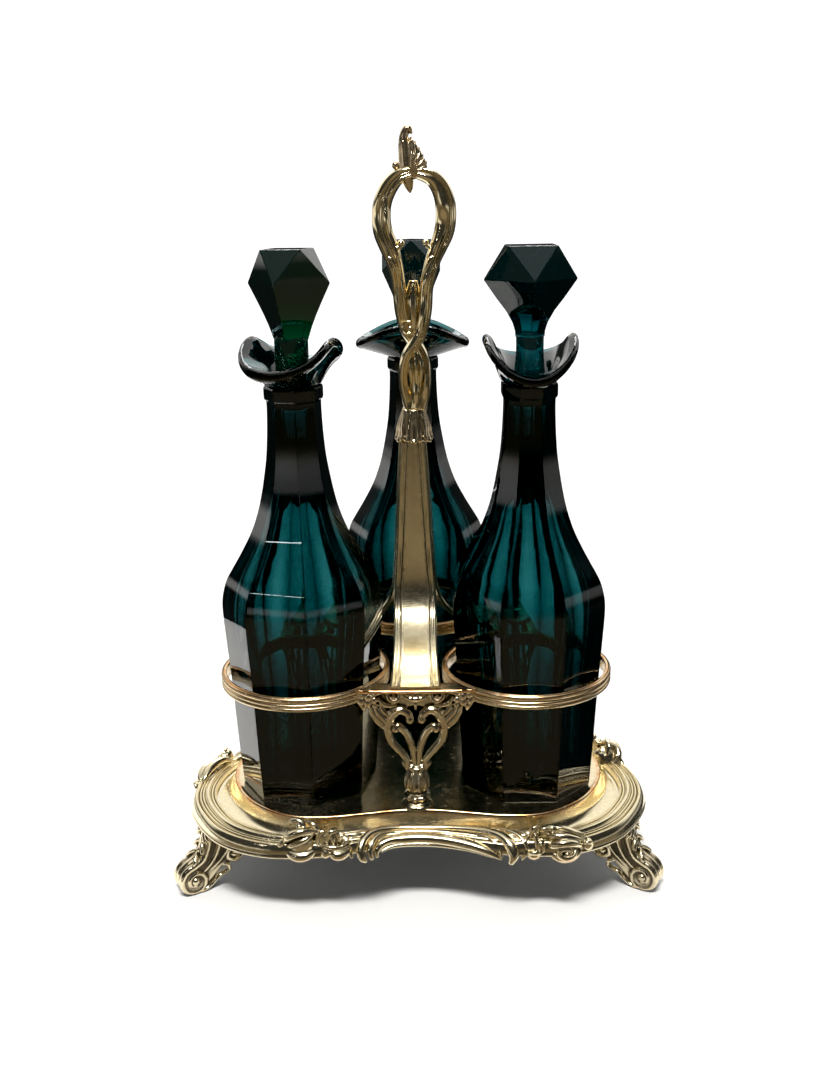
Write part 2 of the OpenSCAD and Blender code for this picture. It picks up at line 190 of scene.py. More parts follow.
    def turned(self, profile, centre=(0, 0), n=48, mod=None, per=1, **values):
        """A turned form: profile [[z, r], ...] about a vertical axis; mod(angle, z, r) gives a new radius."""
        S = curve(profile, per) if per > 1 else np.array(profile, float)
        q = np.arange(n) * 2 * math.pi / n
        rows = []
        for z, r in S:
            rr = np.array([mod(x, z, r) if mod else r for x in q])
            rows.append(np.stack([centre[0] + rr * np.cos(q), centre[1] + rr * np.sin(q), np.full(n, z)], 1))
        self.rows(rows, **values)

    def placed(self, angle=0.0, shift=(0, 0, 0), other=None):
        """A turned and shifted copy of other, added here."""
        o = other
        c, s = math.cos(angle), math.sin(angle)
        R = np.array([[c, -s, 0], [s, c, 0], [0, 0, 1]])
        vals = {k: np.concatenate(v) for k, v in o.A.items()}
        self.add(np.vstack(o.V) @ R.T + np.array(shift), o.F, **vals)
        return self


def bare(name, shape):
    """A mesh object from a Shape, in metres."""
    me = bpy.data.meshes.new(name)
    me.from_pydata((np.vstack(shape.V) * MM).tolist(), [], shape.F)
    bm = bmesh.new()
    bm.from_mesh(me)
    bmesh.ops.recalc_face_normals(bm, faces=bm.faces)
    bm.to_mesh(me)
    bm.free()
    for k, v in shape.A.items():
        me.attributes.new(k, "FLOAT", "POINT").data.foreach_set("value", np.concatenate(v).astype(np.float32))
    me.update()
    ob = bpy.data.objects.new(name, me)
    bpy.context.scene.collection.objects.link(ob)
    return ob


def through(ob, *mods):
    """Runs modifiers given as (type, settings) and keeps the result."""
    for kind, settings in mods:
        m = ob.modifiers.new(kind.lower(), kind)
        for k, v in settings.items():
            setattr(m, k, v)
    dg = bpy.context.evaluated_depsgraph_get()
    me = bpy.data.meshes.new_from_object(ob.evaluated_get(dg))
    old = ob.data
    ob.modifiers.clear()
    ob.data = me
    me.name = ob.name
    bpy.data.meshes.remove(old)
    return ob


def cast(ob, voxel=0.5, soft=2, keep=None):
    """Fuses overlapping forms into one casting with softened inner corners."""
    v = voxel * 1.0
    mods = [("REMESH", dict(mode="VOXEL", voxel_size=v * MM, use_smooth_shade=True)),
            ("SMOOTH", dict(factor=0.5, iterations=soft))]
    if keep:
        mods.append(("DECIMATE", dict(decimate_type="COLLAPSE", ratio=keep)))
    return through(ob, *mods)


def recess(me, rounds=24):
    """Writes how far each vertex lies below the smoothed surface, in mm, as 'cav'."""
    n = len(me.vertices)
    co = np.empty(n * 3)
    me.vertices.foreach_get("co", co)
    co = co.reshape(-1, 3) / MM
    no = np.empty(n * 3)
    me.vertices.foreach_get("normal", no)
    no = no.reshape(-1, 3)
    e = np.empty(len(me.edges) * 2, np.int32)
    me.edges.foreach_get("vertices", e)
    e = e.reshape(-1, 2)
    a, b = np.concatenate([e[:, 0], e[:, 1]]), np.concatenate([e[:, 1], e[:, 0]])
    deg = np.maximum(np.bincount(a, minlength=n), 1)[:, None]
    s = co.copy()
    for _ in range(rounds):
        m = np.stack([np.bincount(a, s[b, i], n) for i in range(3)], 1) / deg
        s = 0.4 * s + 0.6 * m
    c = ((s - co) * no).sum(1)
    for _ in range(2):
        c = 0.5 * c + 0.5 * np.bincount(a, c[b], n) / deg[:, 0]
    att = me.attributes.get("cav") or me.attributes.new("cav", "FLOAT", "POINT")
    att.data.foreach_set("value", c.astype(np.float32))


def finish_mesh(ob, sharp=None, flat=False, cav=24):
    me = ob.data
    me.shade_flat() if flat else me.shade_smooth()
    if sharp and not flat:
        me.set_sharp_from_angle(angle=math.radians(sharp))
    if cav:
        recess(me, cav)
    me.update()


def piece(name, shape, body, replaces=(), material=None, sharp=None, flat=False, cav=24, casting=None, mods=()):
    ob = bare(name, shape) if isinstance(shape, Shape) else shape
    if casting:
        cast(ob, **casting)
    if mods:
        through(ob, *mods)
    finish_mesh(ob, sharp, flat, cav)
    ob.data.materials.clear()
    ob.data.materials.append(material)
    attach(ob, body)
    if replaces:
        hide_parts(*replaces)
    return ob


# ------------------------------------------------------------------ materials

class Nodes:
    def __init__(self, name):
        self.m = bpy.data.materials.new(name)
        self.m.use_nodes = True
        self.t = self.m.node_tree
        self.t.nodes.clear()
        self.out = self.t.nodes.new("ShaderNodeOutputMaterial")
        self.co = self.t.nodes.new("ShaderNodeTexCoord").outputs["Object"]

    def node(self, kind, **settings):
        n = self.t.nodes.new("ShaderNode" + kind)
        for k, v in settings.items():
            setattr(n, k, v)
        return n

    def link(self, a, b):
        self.t.links.new(a, b)

    def put(self, socket, v):
        if isinstance(v, bpy.types.NodeSocket):
            self.link(v, socket)
        else:
            socket.default_value = v

    def math(self, op, a, b=None, c=None, clamp=False):
        n = self.node("Math", operation=op, use_clamp=clamp)
        for s, v in zip(n.inputs, (a, b, c)):
            if v is not None:
                self.put(s, v)
        return n.outputs[0]

    def noise(self, scale, detail=4, rough=0.55, distortion=0.0, stretch=None):
        co = self.co
        if stretch:
            mp = self.node("Mapping")
            self.link(co, mp.inputs["Vector"])
            mp.inputs["Scale"].default_value = stretch
            co = mp.outputs[0]
        n = self.node("TexNoise")
        self.link(co, n.inputs["Vector"])
        n.inputs["Scale"].default_value = scale
        n.inputs["Detail"].default_value = detail
        n.inputs["Roughness"].default_value = rough
        n.inputs["Distortion"].default_value = distortion
        return n.outputs["Fac"]

    def ramp(self, fac, *stops, interp="LINEAR"):
        n = self.node("ValToRGB")
        n.color_ramp.interpolation = interp
        el = n.color_ramp.elements
        while len(el) > 1:
            el.remove(el[0])
        el[0].position, el[0].color = stops[0][0], self.rgba(stops[0][1])
        for p, c in stops[1:]:
            e = el.new(p)
            e.color = self.rgba(c)
        self.put(n.inputs[0], fac)
        return n.outputs["Color"]

    @staticmethod
    def rgba(c):
        return (c, c, c, 1) if isinstance(c, (int, float)) else tuple(c) + (1,)

    def span(self, v, a, b, lo=0.0, hi=1.0):
        n = self.node("MapRange", interpolation_type="SMOOTHSTEP")
        self.put(n.inputs["Value"], v)
        for k, x in (("From Min", a), ("From Max", b), ("To Min", lo), ("To Max", hi)):
            n.inputs[k].default_value = x
        return n.outputs["Result"]

    def mix(self, fac, a, b):
        n = self.node("Mix", data_type="RGBA")
        self.put(n.inputs[0], fac)
        for s, v in ((n.inputs[6], a), (n.inputs[7], b)):
            if isinstance(v, tuple):
                s.default_value = self.rgba(v)
            else:
                self.put(s, v)
        return n.outputs[2]

    def attr(self, name):
        n = self.node("Attribute", attribute_name=name)
        return n.outputs["Fac"]

    def bump(self, height, strength, distance, normal=None):
        n = self.node("Bump")
        n.inputs["Strength"].default_value = strength
        n.inputs["Distance"].default_value = distance
        self.put(n.inputs["Height"], height)
        if normal is not None:
            self.link(normal, n.inputs["Normal"])
        return n.outputs[0]


def silver(name, shade=1.0, rough=0.15, tarnish_and_shade=1.0, copper_from=None, base=(0.86, 0.76, 0.52), cav_lo=0.015, cav_hi=0.3, use_cav=True, wear=1.0):
    """Old silver plate: warm, softly worn, dark in the hollows from tarnish and painted shade, copper where it has
    rubbed through.
    """
    k = Nodes(name)
    big = k.noise(22, 4, 0.6)
    fine = k.noise(420, 3, 0.6)
    mid = k.noise(95, 5, 0.62, 0.3)
    scr = k.noise(260, 2, 0.5, 0.0, stretch=(1.0, 1.0, 7.0))
    cav = k.attr("cav") if use_cav else 0.0
    # tarnish and painted shade: the recesses are darkened by their depth, broken up by the noise
    if use_cav:
        c1 = k.math("ADD", cav, k.math("MULTIPLY", k.math("SUBTRACT", mid, 0.5), 0.16))
        # painted shade together with tarnish: darker the deeper a vertex lies below the smoothed surface
        hollow = k.span(c1, cav_lo, cav_hi, 0.0, min(1.0, 0.95 * tarnish_and_shade))
    else:
        hollow = 0.0
    patch = k.span(big, 0.50, 0.72, 0.0, 0.34 * tarnish_and_shade)
    spots = k.span(mid, 0.62, 0.76, 0.0, 0.30 * tarnish_and_shade)
    tarnish_and_hollow_shade = k.math("MAXIMUM", hollow, k.math("ADD", patch, spots), clamp=True) if use_cav else k.math("ADD", patch, spots, clamp=True)
    tone = k.mix(k.span(fine, 0.3, 0.7), tuple(b * shade * 0.93 for b in base), tuple(b * shade for b in base))
    # dark brown shared by the random tarnish and the painted shade in the hollows
    dark_tarnish_and_shade = k.mix(mid, (0.135 * shade, 0.105 * shade, 0.068 * shade), (0.060, 0.045, 0.028))
    col = k.mix(tarnish_and_hollow_shade, tone, dark_tarnish_and_shade)
    if copper_from is not None:
        cu = k.attr(copper_from)
        cu = k.math("MULTIPLY", cu, k.span(k.noise(130, 3, 0.6), 0.30, 0.62, 0.25, 1.0), clamp=True)
        col = k.mix(cu, col, (0.74, 0.40, 0.17))
    r = k.math("ADD", k.math("MULTIPLY", fine, 0.10), rough)
    r = k.math("ADD", r, k.math("MULTIPLY", tarnish_and_hollow_shade, 0.34))
    r = k.math("ADD", r, k.math("MULTIPLY", k.span(scr, 0.45, 0.8), 0.08), clamp=True)
    p = k.node("BsdfPrincipled")
    k.link(col, p.inputs["Base Color"])
    k.link(r, p.inputs["Roughness"])
    p.inputs["Metallic"].default_value = 1.0
    h = k.math("ADD", k.math("MULTIPLY", mid, 0.6), k.math("MULTIPLY", scr, 0.25))
    h = k.math("ADD", h, k.math("MULTIPLY", fine, 0.15))
    k.link(k.bump(h, 0.16 * wear, 0.0006), p.inputs["Normal"])
    k.link(p.outputs[0], k.out.inputs["Surface"])
    return k.m


def steel(name):
    k = Nodes(name)
    n = k.noise(300, 4, 0.6)
    col = k.mix(k.span(n, 0.35, 0.7), (0.42, 0.40, 0.37), (0.22, 0.19, 0.16))
    p = k.node("BsdfPrincipled")
    k.link(col, p.inputs["Base Color"])
    k.link(k.span(n, 0.3, 0.8, 0.28, 0.55), p.inputs["Roughness"])
    p.inputs["Metallic"].default_value = 1.0
    k.link(k.bump(n, 0.2, 0.0004), p.inputs["Normal"])
    k.link(p.outputs[0], k.out.inputs["Surface"])
    return k.m


def glass(name, absorb, density, rough=0.0, base=(1, 1, 1), clear=1.0):
    """Coloured cut glass: clear to reflections, darkening with depth, with faint wear."""
    k = Nodes(name)
    n = k.noise(60, 3, 0.5)
    f = k.noise(900, 2, 0.5)
    p = k.node("BsdfPrincipled")
    p.inputs["Base Color"].default_value = tuple(base) + (1,)
    p.inputs["Transmission Weight"].default_value = clear
    p.inputs["IOR"].default_value = 1.52
    k.link(k.math("ADD", k.span(f, 0.62, 0.8, 0.0, 0.05), rough), p.inputs["Roughness"])
    k.link(k.bump(n, 0.05, 0.0008), p.inputs["Normal"])
    k.link(p.outputs[0], k.out.inputs["Surface"])
    va = k.node("VolumeAbsorption")
    va.inputs["Color"].default_value = tuple(absorb) + (1,)
    va.inputs["Density"].default_value = density
    k.link(va.outputs[0], k.out.inputs["Volume"])
    return k.m


M_SILVER = silver("silver_plate", rough=0.13)
M_RIM = silver("silver_plate_rim", rough=0.11, copper_from="cu", cav_lo=0.03, cav_hi=0.34, wear=0.6)
M_HANDLE = silver("silver_plate_handle", rough=0.05, tarnish_and_shade=0.45, copper_from="cu", base=(0.97, 0.84, 0.55), cav_lo=0.16, cav_hi=0.46, wear=0.15)
M_CAST = silver("silver_plate_cast", rough=0.12, copper_from="cu", cav_lo=-0.03, cav_hi=0.26, tarnish_and_shade=1.15, wear=0.6)
M_TRAY = silver("silver_plate_tray", rough=0.14, tarnish_and_shade=0.8, copper_from="cu", cav_lo=0.5, cav_hi=1.2)
M_WORN = silver("worn_plate_on_copper", rough=0.16, copper_from="cu", base=(0.80, 0.66, 0.42), cav_lo=0.02, cav_hi=0.2)
M_PLAIN = silver("silver_plate_plain", rough=0.2, use_cav=False)
M_FOOT = silver("silver_plate_foot", rough=0.12, copper_from="cu", base=(0.76, 0.66, 0.45), cav_lo=-0.06, cav_hi=0.20, tarnish_and_shade=1.2, wear=0.6)
M_FINIAL = silver("silver_plate_finial", rough=0.12, copper_from="cu", base=(0.72, 0.58, 0.38), cav_lo=-0.06, cav_hi=0.24, tarnish_and_shade=1.2, wear=0.6)
M_STEEL = steel("steel_fastener")
M_TEAL = glass("teal_glass", (0.0, 0.50, 0.52), 800)
M_TEAL_ST = glass("teal_glass_stopper", (0.0, 0.52, 0.55), 370, base=(0.20, 0.75, 0.78), clear=0.988)
M_GREEN_ST = glass("green_glass_stopper", (0.06, 0.60, 0.48), 520, base=(0.25, 0.78, 0.58), clear=0.990)
M_TEAL_B = glass("teal_glass_dense", (0.0, 0.50, 0.52), 950)

# ------------------------------------------------------------------ plan of the stand

LOBES = (210, 330, 90)
WAISTS = (270, 30, 150)
FLOOR_EDGE = [117, 115.5, 110.5, 99.5, 88.5, 81.5, 79]
BORDER_IN = [128.5, 127, 119, 107, 94.5, 87, 84]
BORDER_OUT = [144.5, 143, 135, 121.5, 107.5, 97, 94]


def folded(a):
    m = np.mod(np.asarray(a, float) - 90, 120)
    return np.where(m > 60, 120 - m, m)


def outline(T, a):
    u = folded(a) / 10
    i = np.minimum(np.floor(u), 5).astype(int)
    t = u - i
    T = np.array(T, float)

    def pick(j):
        j = np.abs(j)
        return T[np.where(j > 6, 12 - j, j)]

    p0, p1, p2, p3 = pick(i - 1), pick(i), pick(i + 1), pick(i + 2)
    return 0.5 * (2 * p1 + (p2 - p0) * t + (2 * p0 - 5 * p1 + 4 * p2 - p3) * t ** 2 + (3 * p1 - p0 - 3 * p2 + p3) * t ** 3)


def off_waist(a):
    """Signed angle from the nearest waist, -60..60, growing anticlockwise."""
    return np.mod(np.asarray(a, float) - 30 + 60, 120) - 60


# ------------------------------------------------------------------ tray

N_A = 720
ANG = np.arange(N_A) * 360 / N_A


def polar(r, z, a=None):
    a = ANG if a is None else a
    t = np.radians(a)
    return np.stack([r * np.cos(t), r * np.sin(t), np.broadcast_to(np.asarray(z, float), r.shape)], 1)


def build_tray():
    s = Shape()
    e, bi = outline(FLOOR_EDGE, ANG), outline(BORDER_IN, ANG)
    top = []
    # [share of the way from the floor's edge to the border, extra radius, height, copper]
    for r, z in ((4, 52), (20, 52), (45, 52), (62, 52)):
        top.append((polar(np.full(N_A, float(r)), z), 0.0))
    for d, z, cu in ((-8, 52, 0), (-3.4, 52, .1), (-2.4, 52.05, .3), (-1.8, 52.35, .8), (-1.1, 52.6, 1), (-0.5, 52.5, 1), (0, 52.05, 1), (0.25, 51.2, .7),
                     (0.5, 50, .3), (0.75, 48.6, .1), (1.15, 47, 0), (1.75, 45.4, 0), (2.5, 44.1, 0), (3.4, 43.1, 0), (4.4, 42.5, 0), (5.2, 42.25, 0)):
        top.append((polar(e + d, z), cu))
    w = bi - 0.4 - (e + 5.2)
    for f, z in ((.2, 42.05), (.4, 42), (.6, 42.05), (.8, 42.2), (1, 42.6)):
        top.append((polar(e + 5.2 + w * f, z), 0.0))
    under = []
    for f, z in ((1, 41.1), (.8, 40.8), (.4, 40.6), (0, 40.8)):
        under.append((polar(e + 5.2 + w * f, z), 0.0))
    for d, z in ((3.6, 41.3), (2.2, 42.4), (.9, 44.3), (.1, 46.4), (-.6, 49.4), (-1.4, 50.5), (-4, 50.6)):
        under.append((polar(e + d, z), 0.0))
    for r in (62, 30, 4):
        under.append((polar(np.full(N_A, float(r)), 50.6), 0.0))
    allrows = top + under
    cu = np.array([np.full(N_A, c) for _, c in allrows])
    s.rows([r for r, _ in allrows], cu=cu)
    return piece("tray", s, "stand", ["base_tray"], M_TRAY, sharp=60, cav=0)


# ------------------------------------------------------------------ border

def rib(f, c, w):
    """A round rib of half width w on c."""
    x = np.clip(1 - ((f - c) / w) ** 2, 0, 1)
    return np.sqrt(x)


def build_rim():
    s = Shape()
    K = 72
    f = np.linspace(0, 1, K)
    # lobes: five ribs, the outer one broad; waists: one broad arch over two reeds
    lobe = (lerp_table([[0, 42.6], [.06, 44.0], [.3, 44.3], [.6, 44.0], [.78, 42.8], [.92, 40.8], [1, 39.0]], f)
            + 1.8 * rib(f, .06, .06) + 1.5 * rib(f, .18, .05) + 2.7 * rib(f, .345, .11) + 1.7 * rib(f, .51, .05) + 1.7 * rib(f, .62, .055) + 2.9 * rib(f, .82, .14))
    waist = (lerp_table([[0, 42.2], [.08, 43.8], [.3, 44.4], [.6, 43.6], [.86, 41.8], [1, 39.2]], f)
             + 1.9 * rib(f, .20, .20) + 1.0 * rib(f, .475, .07) + 1.3 * rib(f, .64, .09) + 1.7 * rib(f, .86, .13))
    psi = off_waist(ANG)
    wgt = 1 - sstep(24, 31, np.abs(psi))
    bi, bo = outline(BORDER_IN, ANG), outline(BORDER_OUT, ANG)
    top = wgt[None, :] * waist[:, None] + (1 - wgt[None, :]) * lobe[:, None]
    rows, cav = [], []
    for i in range(K):
        rows.append(polar(bi + (bo - bi) * f[i], top[i]))
    # the outer edge rolls under, then the hollow back
    for g, z in ((1.005, 38.5), (.99, 37.9), (.95, 37.6), (.88, 37.8), (.8, 38.4), (.6, 39.2), (.35, 39.6), (.12, 39.8), (0, 40.2), (-.01, 41.2)):
        rows.append(polar(bi + (bo - bi) * g, z))
    R = np.array(rows)
    cu = np.zeros(R.shape[:2])
    cu[3:6] = 0.25
    s.rows(R, closed_u=True, cap=False, cu=cu)
    # reeds along each waist's outer half, turned down and curled under at both ends (drawn for the front waist)
    for wa in WAISTS:
        g = math.radians(wa - 270)
        cg, sg_ = math.cos(g), math.sin(g)
        for path in (
            [(51.2, -105.6, 35.2, 2.0), (52.4, -104.6, 38.4, 3.3), (51.2, -101.8, 42.2, 3.6), (47.4, -98, 45.0, 3.2), (41, -94.2, 46.2, 2.7), (31, -90.6, 46.2, 2.2), (19, -88.0, 45.8, 1.8), (8, -86.8, 45.5, 1.5),
             (-6, -86.8, 45.5, 1.5), (-15, -87.8, 45.7, 1.8), (-22, -90.0, 45.8, 2.2), (-27.2, -93.4, 45.0, 2.5), (-30.2, -97.4, 42.8, 2.6), (-31.2, -100.8, 39.6, 2.5), (-30.2, -102.4, 36.4, 2.3), (-28.8, -102.6, 35.0, 1.7)],
            [(-13, -90.2, 44.6, .7), (-18.6, -91.8, 45.0, 1.2), (-22.8, -94.4, 44.2, 1.7), (-25.4, -97.8, 41.8, 1.9), (-26.0, -100.4, 38.6, 1.9), (-25.0, -101.6, 35.8, 1.4)],
            [(45.4, -103.8, 35.6, .7), (42.6, -103.0, 37.4, 1.6), (36, -100.8, 40.0, 2.7), (27, -97.6, 41.4, 3.3), (17, -94.6, 42.0, 3.5), (8, -92.8, 42.2, 3.5), (0, -92.2, 42.3, 3.5), (-8, -92.8, 42.2, 3.5),
             (-15.4, -95.0, 42.6, 2.5), (-20.2, -97.2, 41.2, 2.3), (-22.4, -99.4, 38.4, 1.8), (-22.0, -100.4, 36.2, 1.1)],
            [(40, -102.4, 36.6, .8), (30, -99.8, 38.8, 1.2), (19, -96.8, 39.5, 1.4), (8, -94.8, 39.7, 1.5), (0, -94.4, 39.7, 1.5), (-8, -94.8, 39.7, 1.5), (-15, -96.4, 39.4, 1.3), (-19.4, -98.4, 38.0, .8)],
            [(32, -93.6, 44.6, .6), (38, -96, 44.8, 1.0), (43, -99.4, 43.0, 1.2), (45.6, -102.2, 39.6, 1.0), (46, -103.6, 37, .6)],
            [(57.2, -104.8, 36.2, .8), (59.2, -104.2, 39.4, 1.3), (59.0, -101.6, 43.2, 1.6), (55.6, -97.4, 46.0, 1.6), (49, -93.4, 47.0, 1.3), (40, -90.2, 46.4, .8)],
            [(63.0, -104.6, 37.6, .7), (64.0, -102.4, 42.0, 1.1), (61.6, -98.4, 45.6, 1.3), (56, -94.2, 46.8, 1.0), (49, -91.2, 46.2, .6)],
            [(-27, -89.0, 45.2, .6), (-32.4, -91.8, 45.2, 1.2), (-35.8, -96.2, 43.0, 1.4), (-36.8, -100.2, 39.6, 1.3), (-36.0, -101.8, 36.6, .9)],
        ):
            s.tube([(cg * x - sg_ * y, sg_ * x + cg * y, z, r, r * .92) for x, y, z, r in path], n=16, per=6, cu=0.06)
    return piece("border", s, "stand", ["rim_border"], M_RIM, cav=10)


# ------------------------------------------------------------------ cast clusters on the border

def cluster(kind):
    """Drawn where the front waist has it: x to the right, y away from the viewer, z up."""
    s = Shape()

    def vine(pts, cu=0.0, w=1.0, up=(0, -1, .35)):
        s.tube([[p[0], p[1], p[2], p[3] * w, (p[4] if len(p) > 4 else p[3]) * w] for p in pts], n=14, per=5, up=up, cu=cu)

    def lump(x, y, z, rx, ry, rz, cu=0.0):
        s.ball((x, y, z), (rx, ry, rz), n=24, cu=cu)

    if kind == "shell":
        # the bell: a fat ball with a brow, folds across its belly, and a rolled lower lip
        lump(-63.4, -98.4, 44.6, 8.4, 8.0, 8.4)
        vine([(-72.6, -98.6, 44.6, 1.3), (-71.4, -102.4, 48.4, 2.0), (-67.4, -104.2, 52.0, 2.4), (-62.0, -103.8, 53.6, 2.4), (-57.2, -101.2, 51.8, 1.9), (-55.2, -98.6, 48.6, 1.2)])
        vine([(-71.4, -101.4, 43.8, .8), (-69.0, -104.4, 45.2, 1.3), (-64.8, -105.4, 47.6, 1.6), (-60.4, -104.4, 49.4, 1.5), (-57.0, -102.0, 50.2, .9)])
        vine([(-72.2, -99.6, 41.6, 1.2), (-70.2, -102.8, 40.2, 2.3), (-66.0, -104.8, 39.2, 3.0), (-61.0, -104.8, 39.4, 3.0), (-57.0, -102.6, 40.6, 2.2), (-55.0, -99.8, 42.0, 1.2)], cu=.5)
        vine([(-70.2, -94.6, 52.4, 1.2), (-68.4, -97.0, 56.0, 1.9), (-64.8, -98.6, 57.2, 2.0), (-62.0, -100.0, 55.4, 1.7), (-62.8, -101.4, 53.4, 1.2)])
        vine([(-60.0, -95.4, 54.6, 1.0), (-57.4, -96.6, 54.2, 1.6), (-55.0, -98.0, 52.0, 1.5), (-54.6, -99.2, 49.4, 1.0)])
        lump(-64.2, -100.6, 54.8, 1.8, 1.6, 1.8)
        # upright petals, each with a rolled edge
        lump(-52.2, -100.4, 47.6, 2.7, 3.0, 5.6)
        vine([(-54.4, -101.8, 43.6, .8), (-54.6, -102.6, 47.4, 1.1), (-53.2, -102.2, 51.6, 1.2), (-51.0, -101.8, 52.6, .9)])
        lump(-45.8, -99.6, 47.8, 3.7, 3.2, 5.8)
        vine([(-48.8, -101.2, 43.8, .9), (-49.2, -102.4, 47.6, 1.3), (-47.4, -102.4, 52.0, 1.5), (-44.4, -101.6, 52.6, 1.2)])
        vine([(-42.4, -100.4, 44.4, .8), (-42.6, -101.8, 48.0, 1.2), (-43.8, -102.0, 51.2, 1.0)])
        vine([(-45.6, -102.0, 44.8, .9), (-45.8, -102.8, 48.0, 1.3), (-46.0, -102.0, 50.8, .8)])
        lump(-39.9, -98.8, 44.8, 2.8, 2.8, 3.8)
        vine([(-41.6, -100.6, 42.4, .7), (-40.0, -101.8, 45.2, 1.1), (-38.2, -100.2, 47.4, .8)])
        # the double lip under them
        lump(-50.2, -102.6, 39.8, 3.0, 2.9, 3.2, .35)
        vine([(-46.2, -101.8, 40.8, 1.4), (-45.4, -104.2, 39.8, 2.8), (-42.4, -104.2, 39.4, 3.2), (-39.0, -102.6, 39.8, 2.6), (-36.8, -99.8, 40.8, 1.4)], cu=.5)
        vine([(-53.4, -100.4, 43.2, .9), (-49.6, -103.4, 43.8, 1.2), (-45.4, -103.8, 43.6, 1.4), (-40.8, -102.6, 43.2, 1.2), (-37.4, -100.0, 43.0, .8)])
        # a small curl where the reeds come in
        vine([(-76.4, -99.6, 42.4, .8), (-75.2, -102.2, 44.4, 1.5), (-73.2, -102.6, 46.8, 1.4), (-72.0, -100.4, 49.6, 1.0)])
    else:
        # upright petals and a bright leaf over a knob
        lump(63.9, -99.8, 49.0, 2.8, 2.9, 4.8)
        vine([(62.0, -101.4, 46.6, .7), (61.8, -102.2, 50.0, 1.1), (63.4, -101.8, 53.4, 1.2), (65.8, -100.8, 53.6, .9)])
        lump(69.2, -98.8, 49.6, 3.4, 2.8, 3.4)
        vine([(66.8, -100.2, 50.8, .9), (69.0, -101.2, 52.4, 1.3), (72.2, -100.4, 51.6, 1.1), (73.6, -99.0, 49.6, .8)])
        vine([(64.2, -103.4, 49.6, .8), (65.0, -104.6, 46.4, 1.4), (65.6, -105.0, 42.8, 1.5), (66.0, -104.6, 39.8, 1.0)])
        vine([(68.2, -103.0, 47.0, .8), (68.4, -104.2, 44.0, 1.2), (68.4, -104.2, 40.6, 1.1), (68.6, -103.4, 38.0, .8)])
        lump(63.6, -102.8, 38.8, 4.4, 3.9, 3.9, .45)
        vine([(59.4, -102.6, 39.4, .8), (61.4, -105.6, 40.6, 1.2), (64.4, -106.4, 40.8, 1.2), (67.0, -105.2, 39.6, .8)], cu=.2)
        # the big shell, swirled on its face
        lump(80.6, -98.8, 41.0, 9.0, 7.0, 6.2, .3)
        vine([(71.6, -100.6, 41.4, 1.2), (73.4, -104.4, 44.0, 2.0), (77.6, -106.0, 46.0, 2.3), (82.8, -105.6, 46.0, 2.2), (87.4, -103.4, 44.0, 1.8), (89.4, -100.8, 41.0, 1.3)])
        vine([(72.0, -101.0, 39.8, 1.2), (74.6, -103.8, 38.0, 2.3), (79.4, -105.2, 37.0, 2.9), (84.6, -104.4, 37.4, 2.6), (88.6, -101.8, 39.0, 1.6)], cu=.55)
        vine([(86.2, -104.2, 40.6, .9), (84.8, -106.2, 38.6, 1.3), (81.0, -107.4, 37.8, 1.5), (77.4, -107.0, 39.4, 1.5), (77.4, -106.8, 42.2, 1.4), (80.6, -107.0, 43.4, 1.3), (83.2, -106.8, 42.2, 1.1), (82.8, -107.0, 40.6, .9), (80.8, -107.3, 40.6, .8)], cu=.15)
        # leaves lying over it
        vine([(66.8, -95.4, 48.4, 1.2), (71.4, -97.4, 50.6, 2.2), (77.4, -98.6, 50.6, 2.7), (83.4, -98.6, 49.0, 2.5), (88.8, -97.8, 46.8, 1.8), (91.6, -97.4, 45.2, 1.0)])
        vine([(70.8, -100.6, 47.4, 1.0), (74.8, -102.8, 49.0, 1.7), (80.4, -103.4, 48.8, 2.0), (86.0, -102.4, 47.0, 1.7), (90.2, -100.6, 45.2, 1.0)])
        vine([(72.6, -98.6, 52.0, .7), (77.4, -100.2, 52.4, .9), (83.0, -100.2, 50.8, .9), (88.0, -99.2, 48.2, .6)])
        lump(93.2, -98.8, 41.4, 3.5, 3.3, 3.8, .25)
        vine([(90.4, -100.4, 42.8, .8), (92.0, -102.0, 44.4, 1.1), (94.6, -101.4, 44.2, 1.1), (96.2, -99.2, 42.4, .8)])
        # small curl beside the thumb of the arch
        vine([(60.2, -99.6, 47.2, .7), (59.0, -102.0, 45.4, 1.2), (59.6, -103.4, 42.6, 1.3), (61.0, -103.8, 40.6, 1.0)])
    return s


def build_clusters():
    for kind, node, name in (("shell", "shell_mounts", "shell_cluster"), ("flower", "flower_mounts", "flower_cluster")):
        base = bare("tmp_" + kind, cluster(kind))
        cast(base, voxel=0.36, soft=1)
        me = base.data
        n = len(me.vertices)
        co = np.empty(n * 3)
        me.vertices.foreach_get("co", co)
        co = co.reshape(-1, 3) / MM
        polys = [tuple(p.vertices) for p in me.polygons]
        # copper shows on the lowest, most rubbed edges
        cu = sstep(40.6, 36.4, co[:, 2]) * 0.55
        one = Shape()
        one.add(co, polys, cu=cu)
        s = Shape()
        for w in WAISTS:
            s.placed(math.radians(w - 270), other=one)
        bpy.data.objects.remove(base)
        piece(name, s, "stand", [node], M_CAST, cav=24)


# ------------------------------------------------------------------ feet

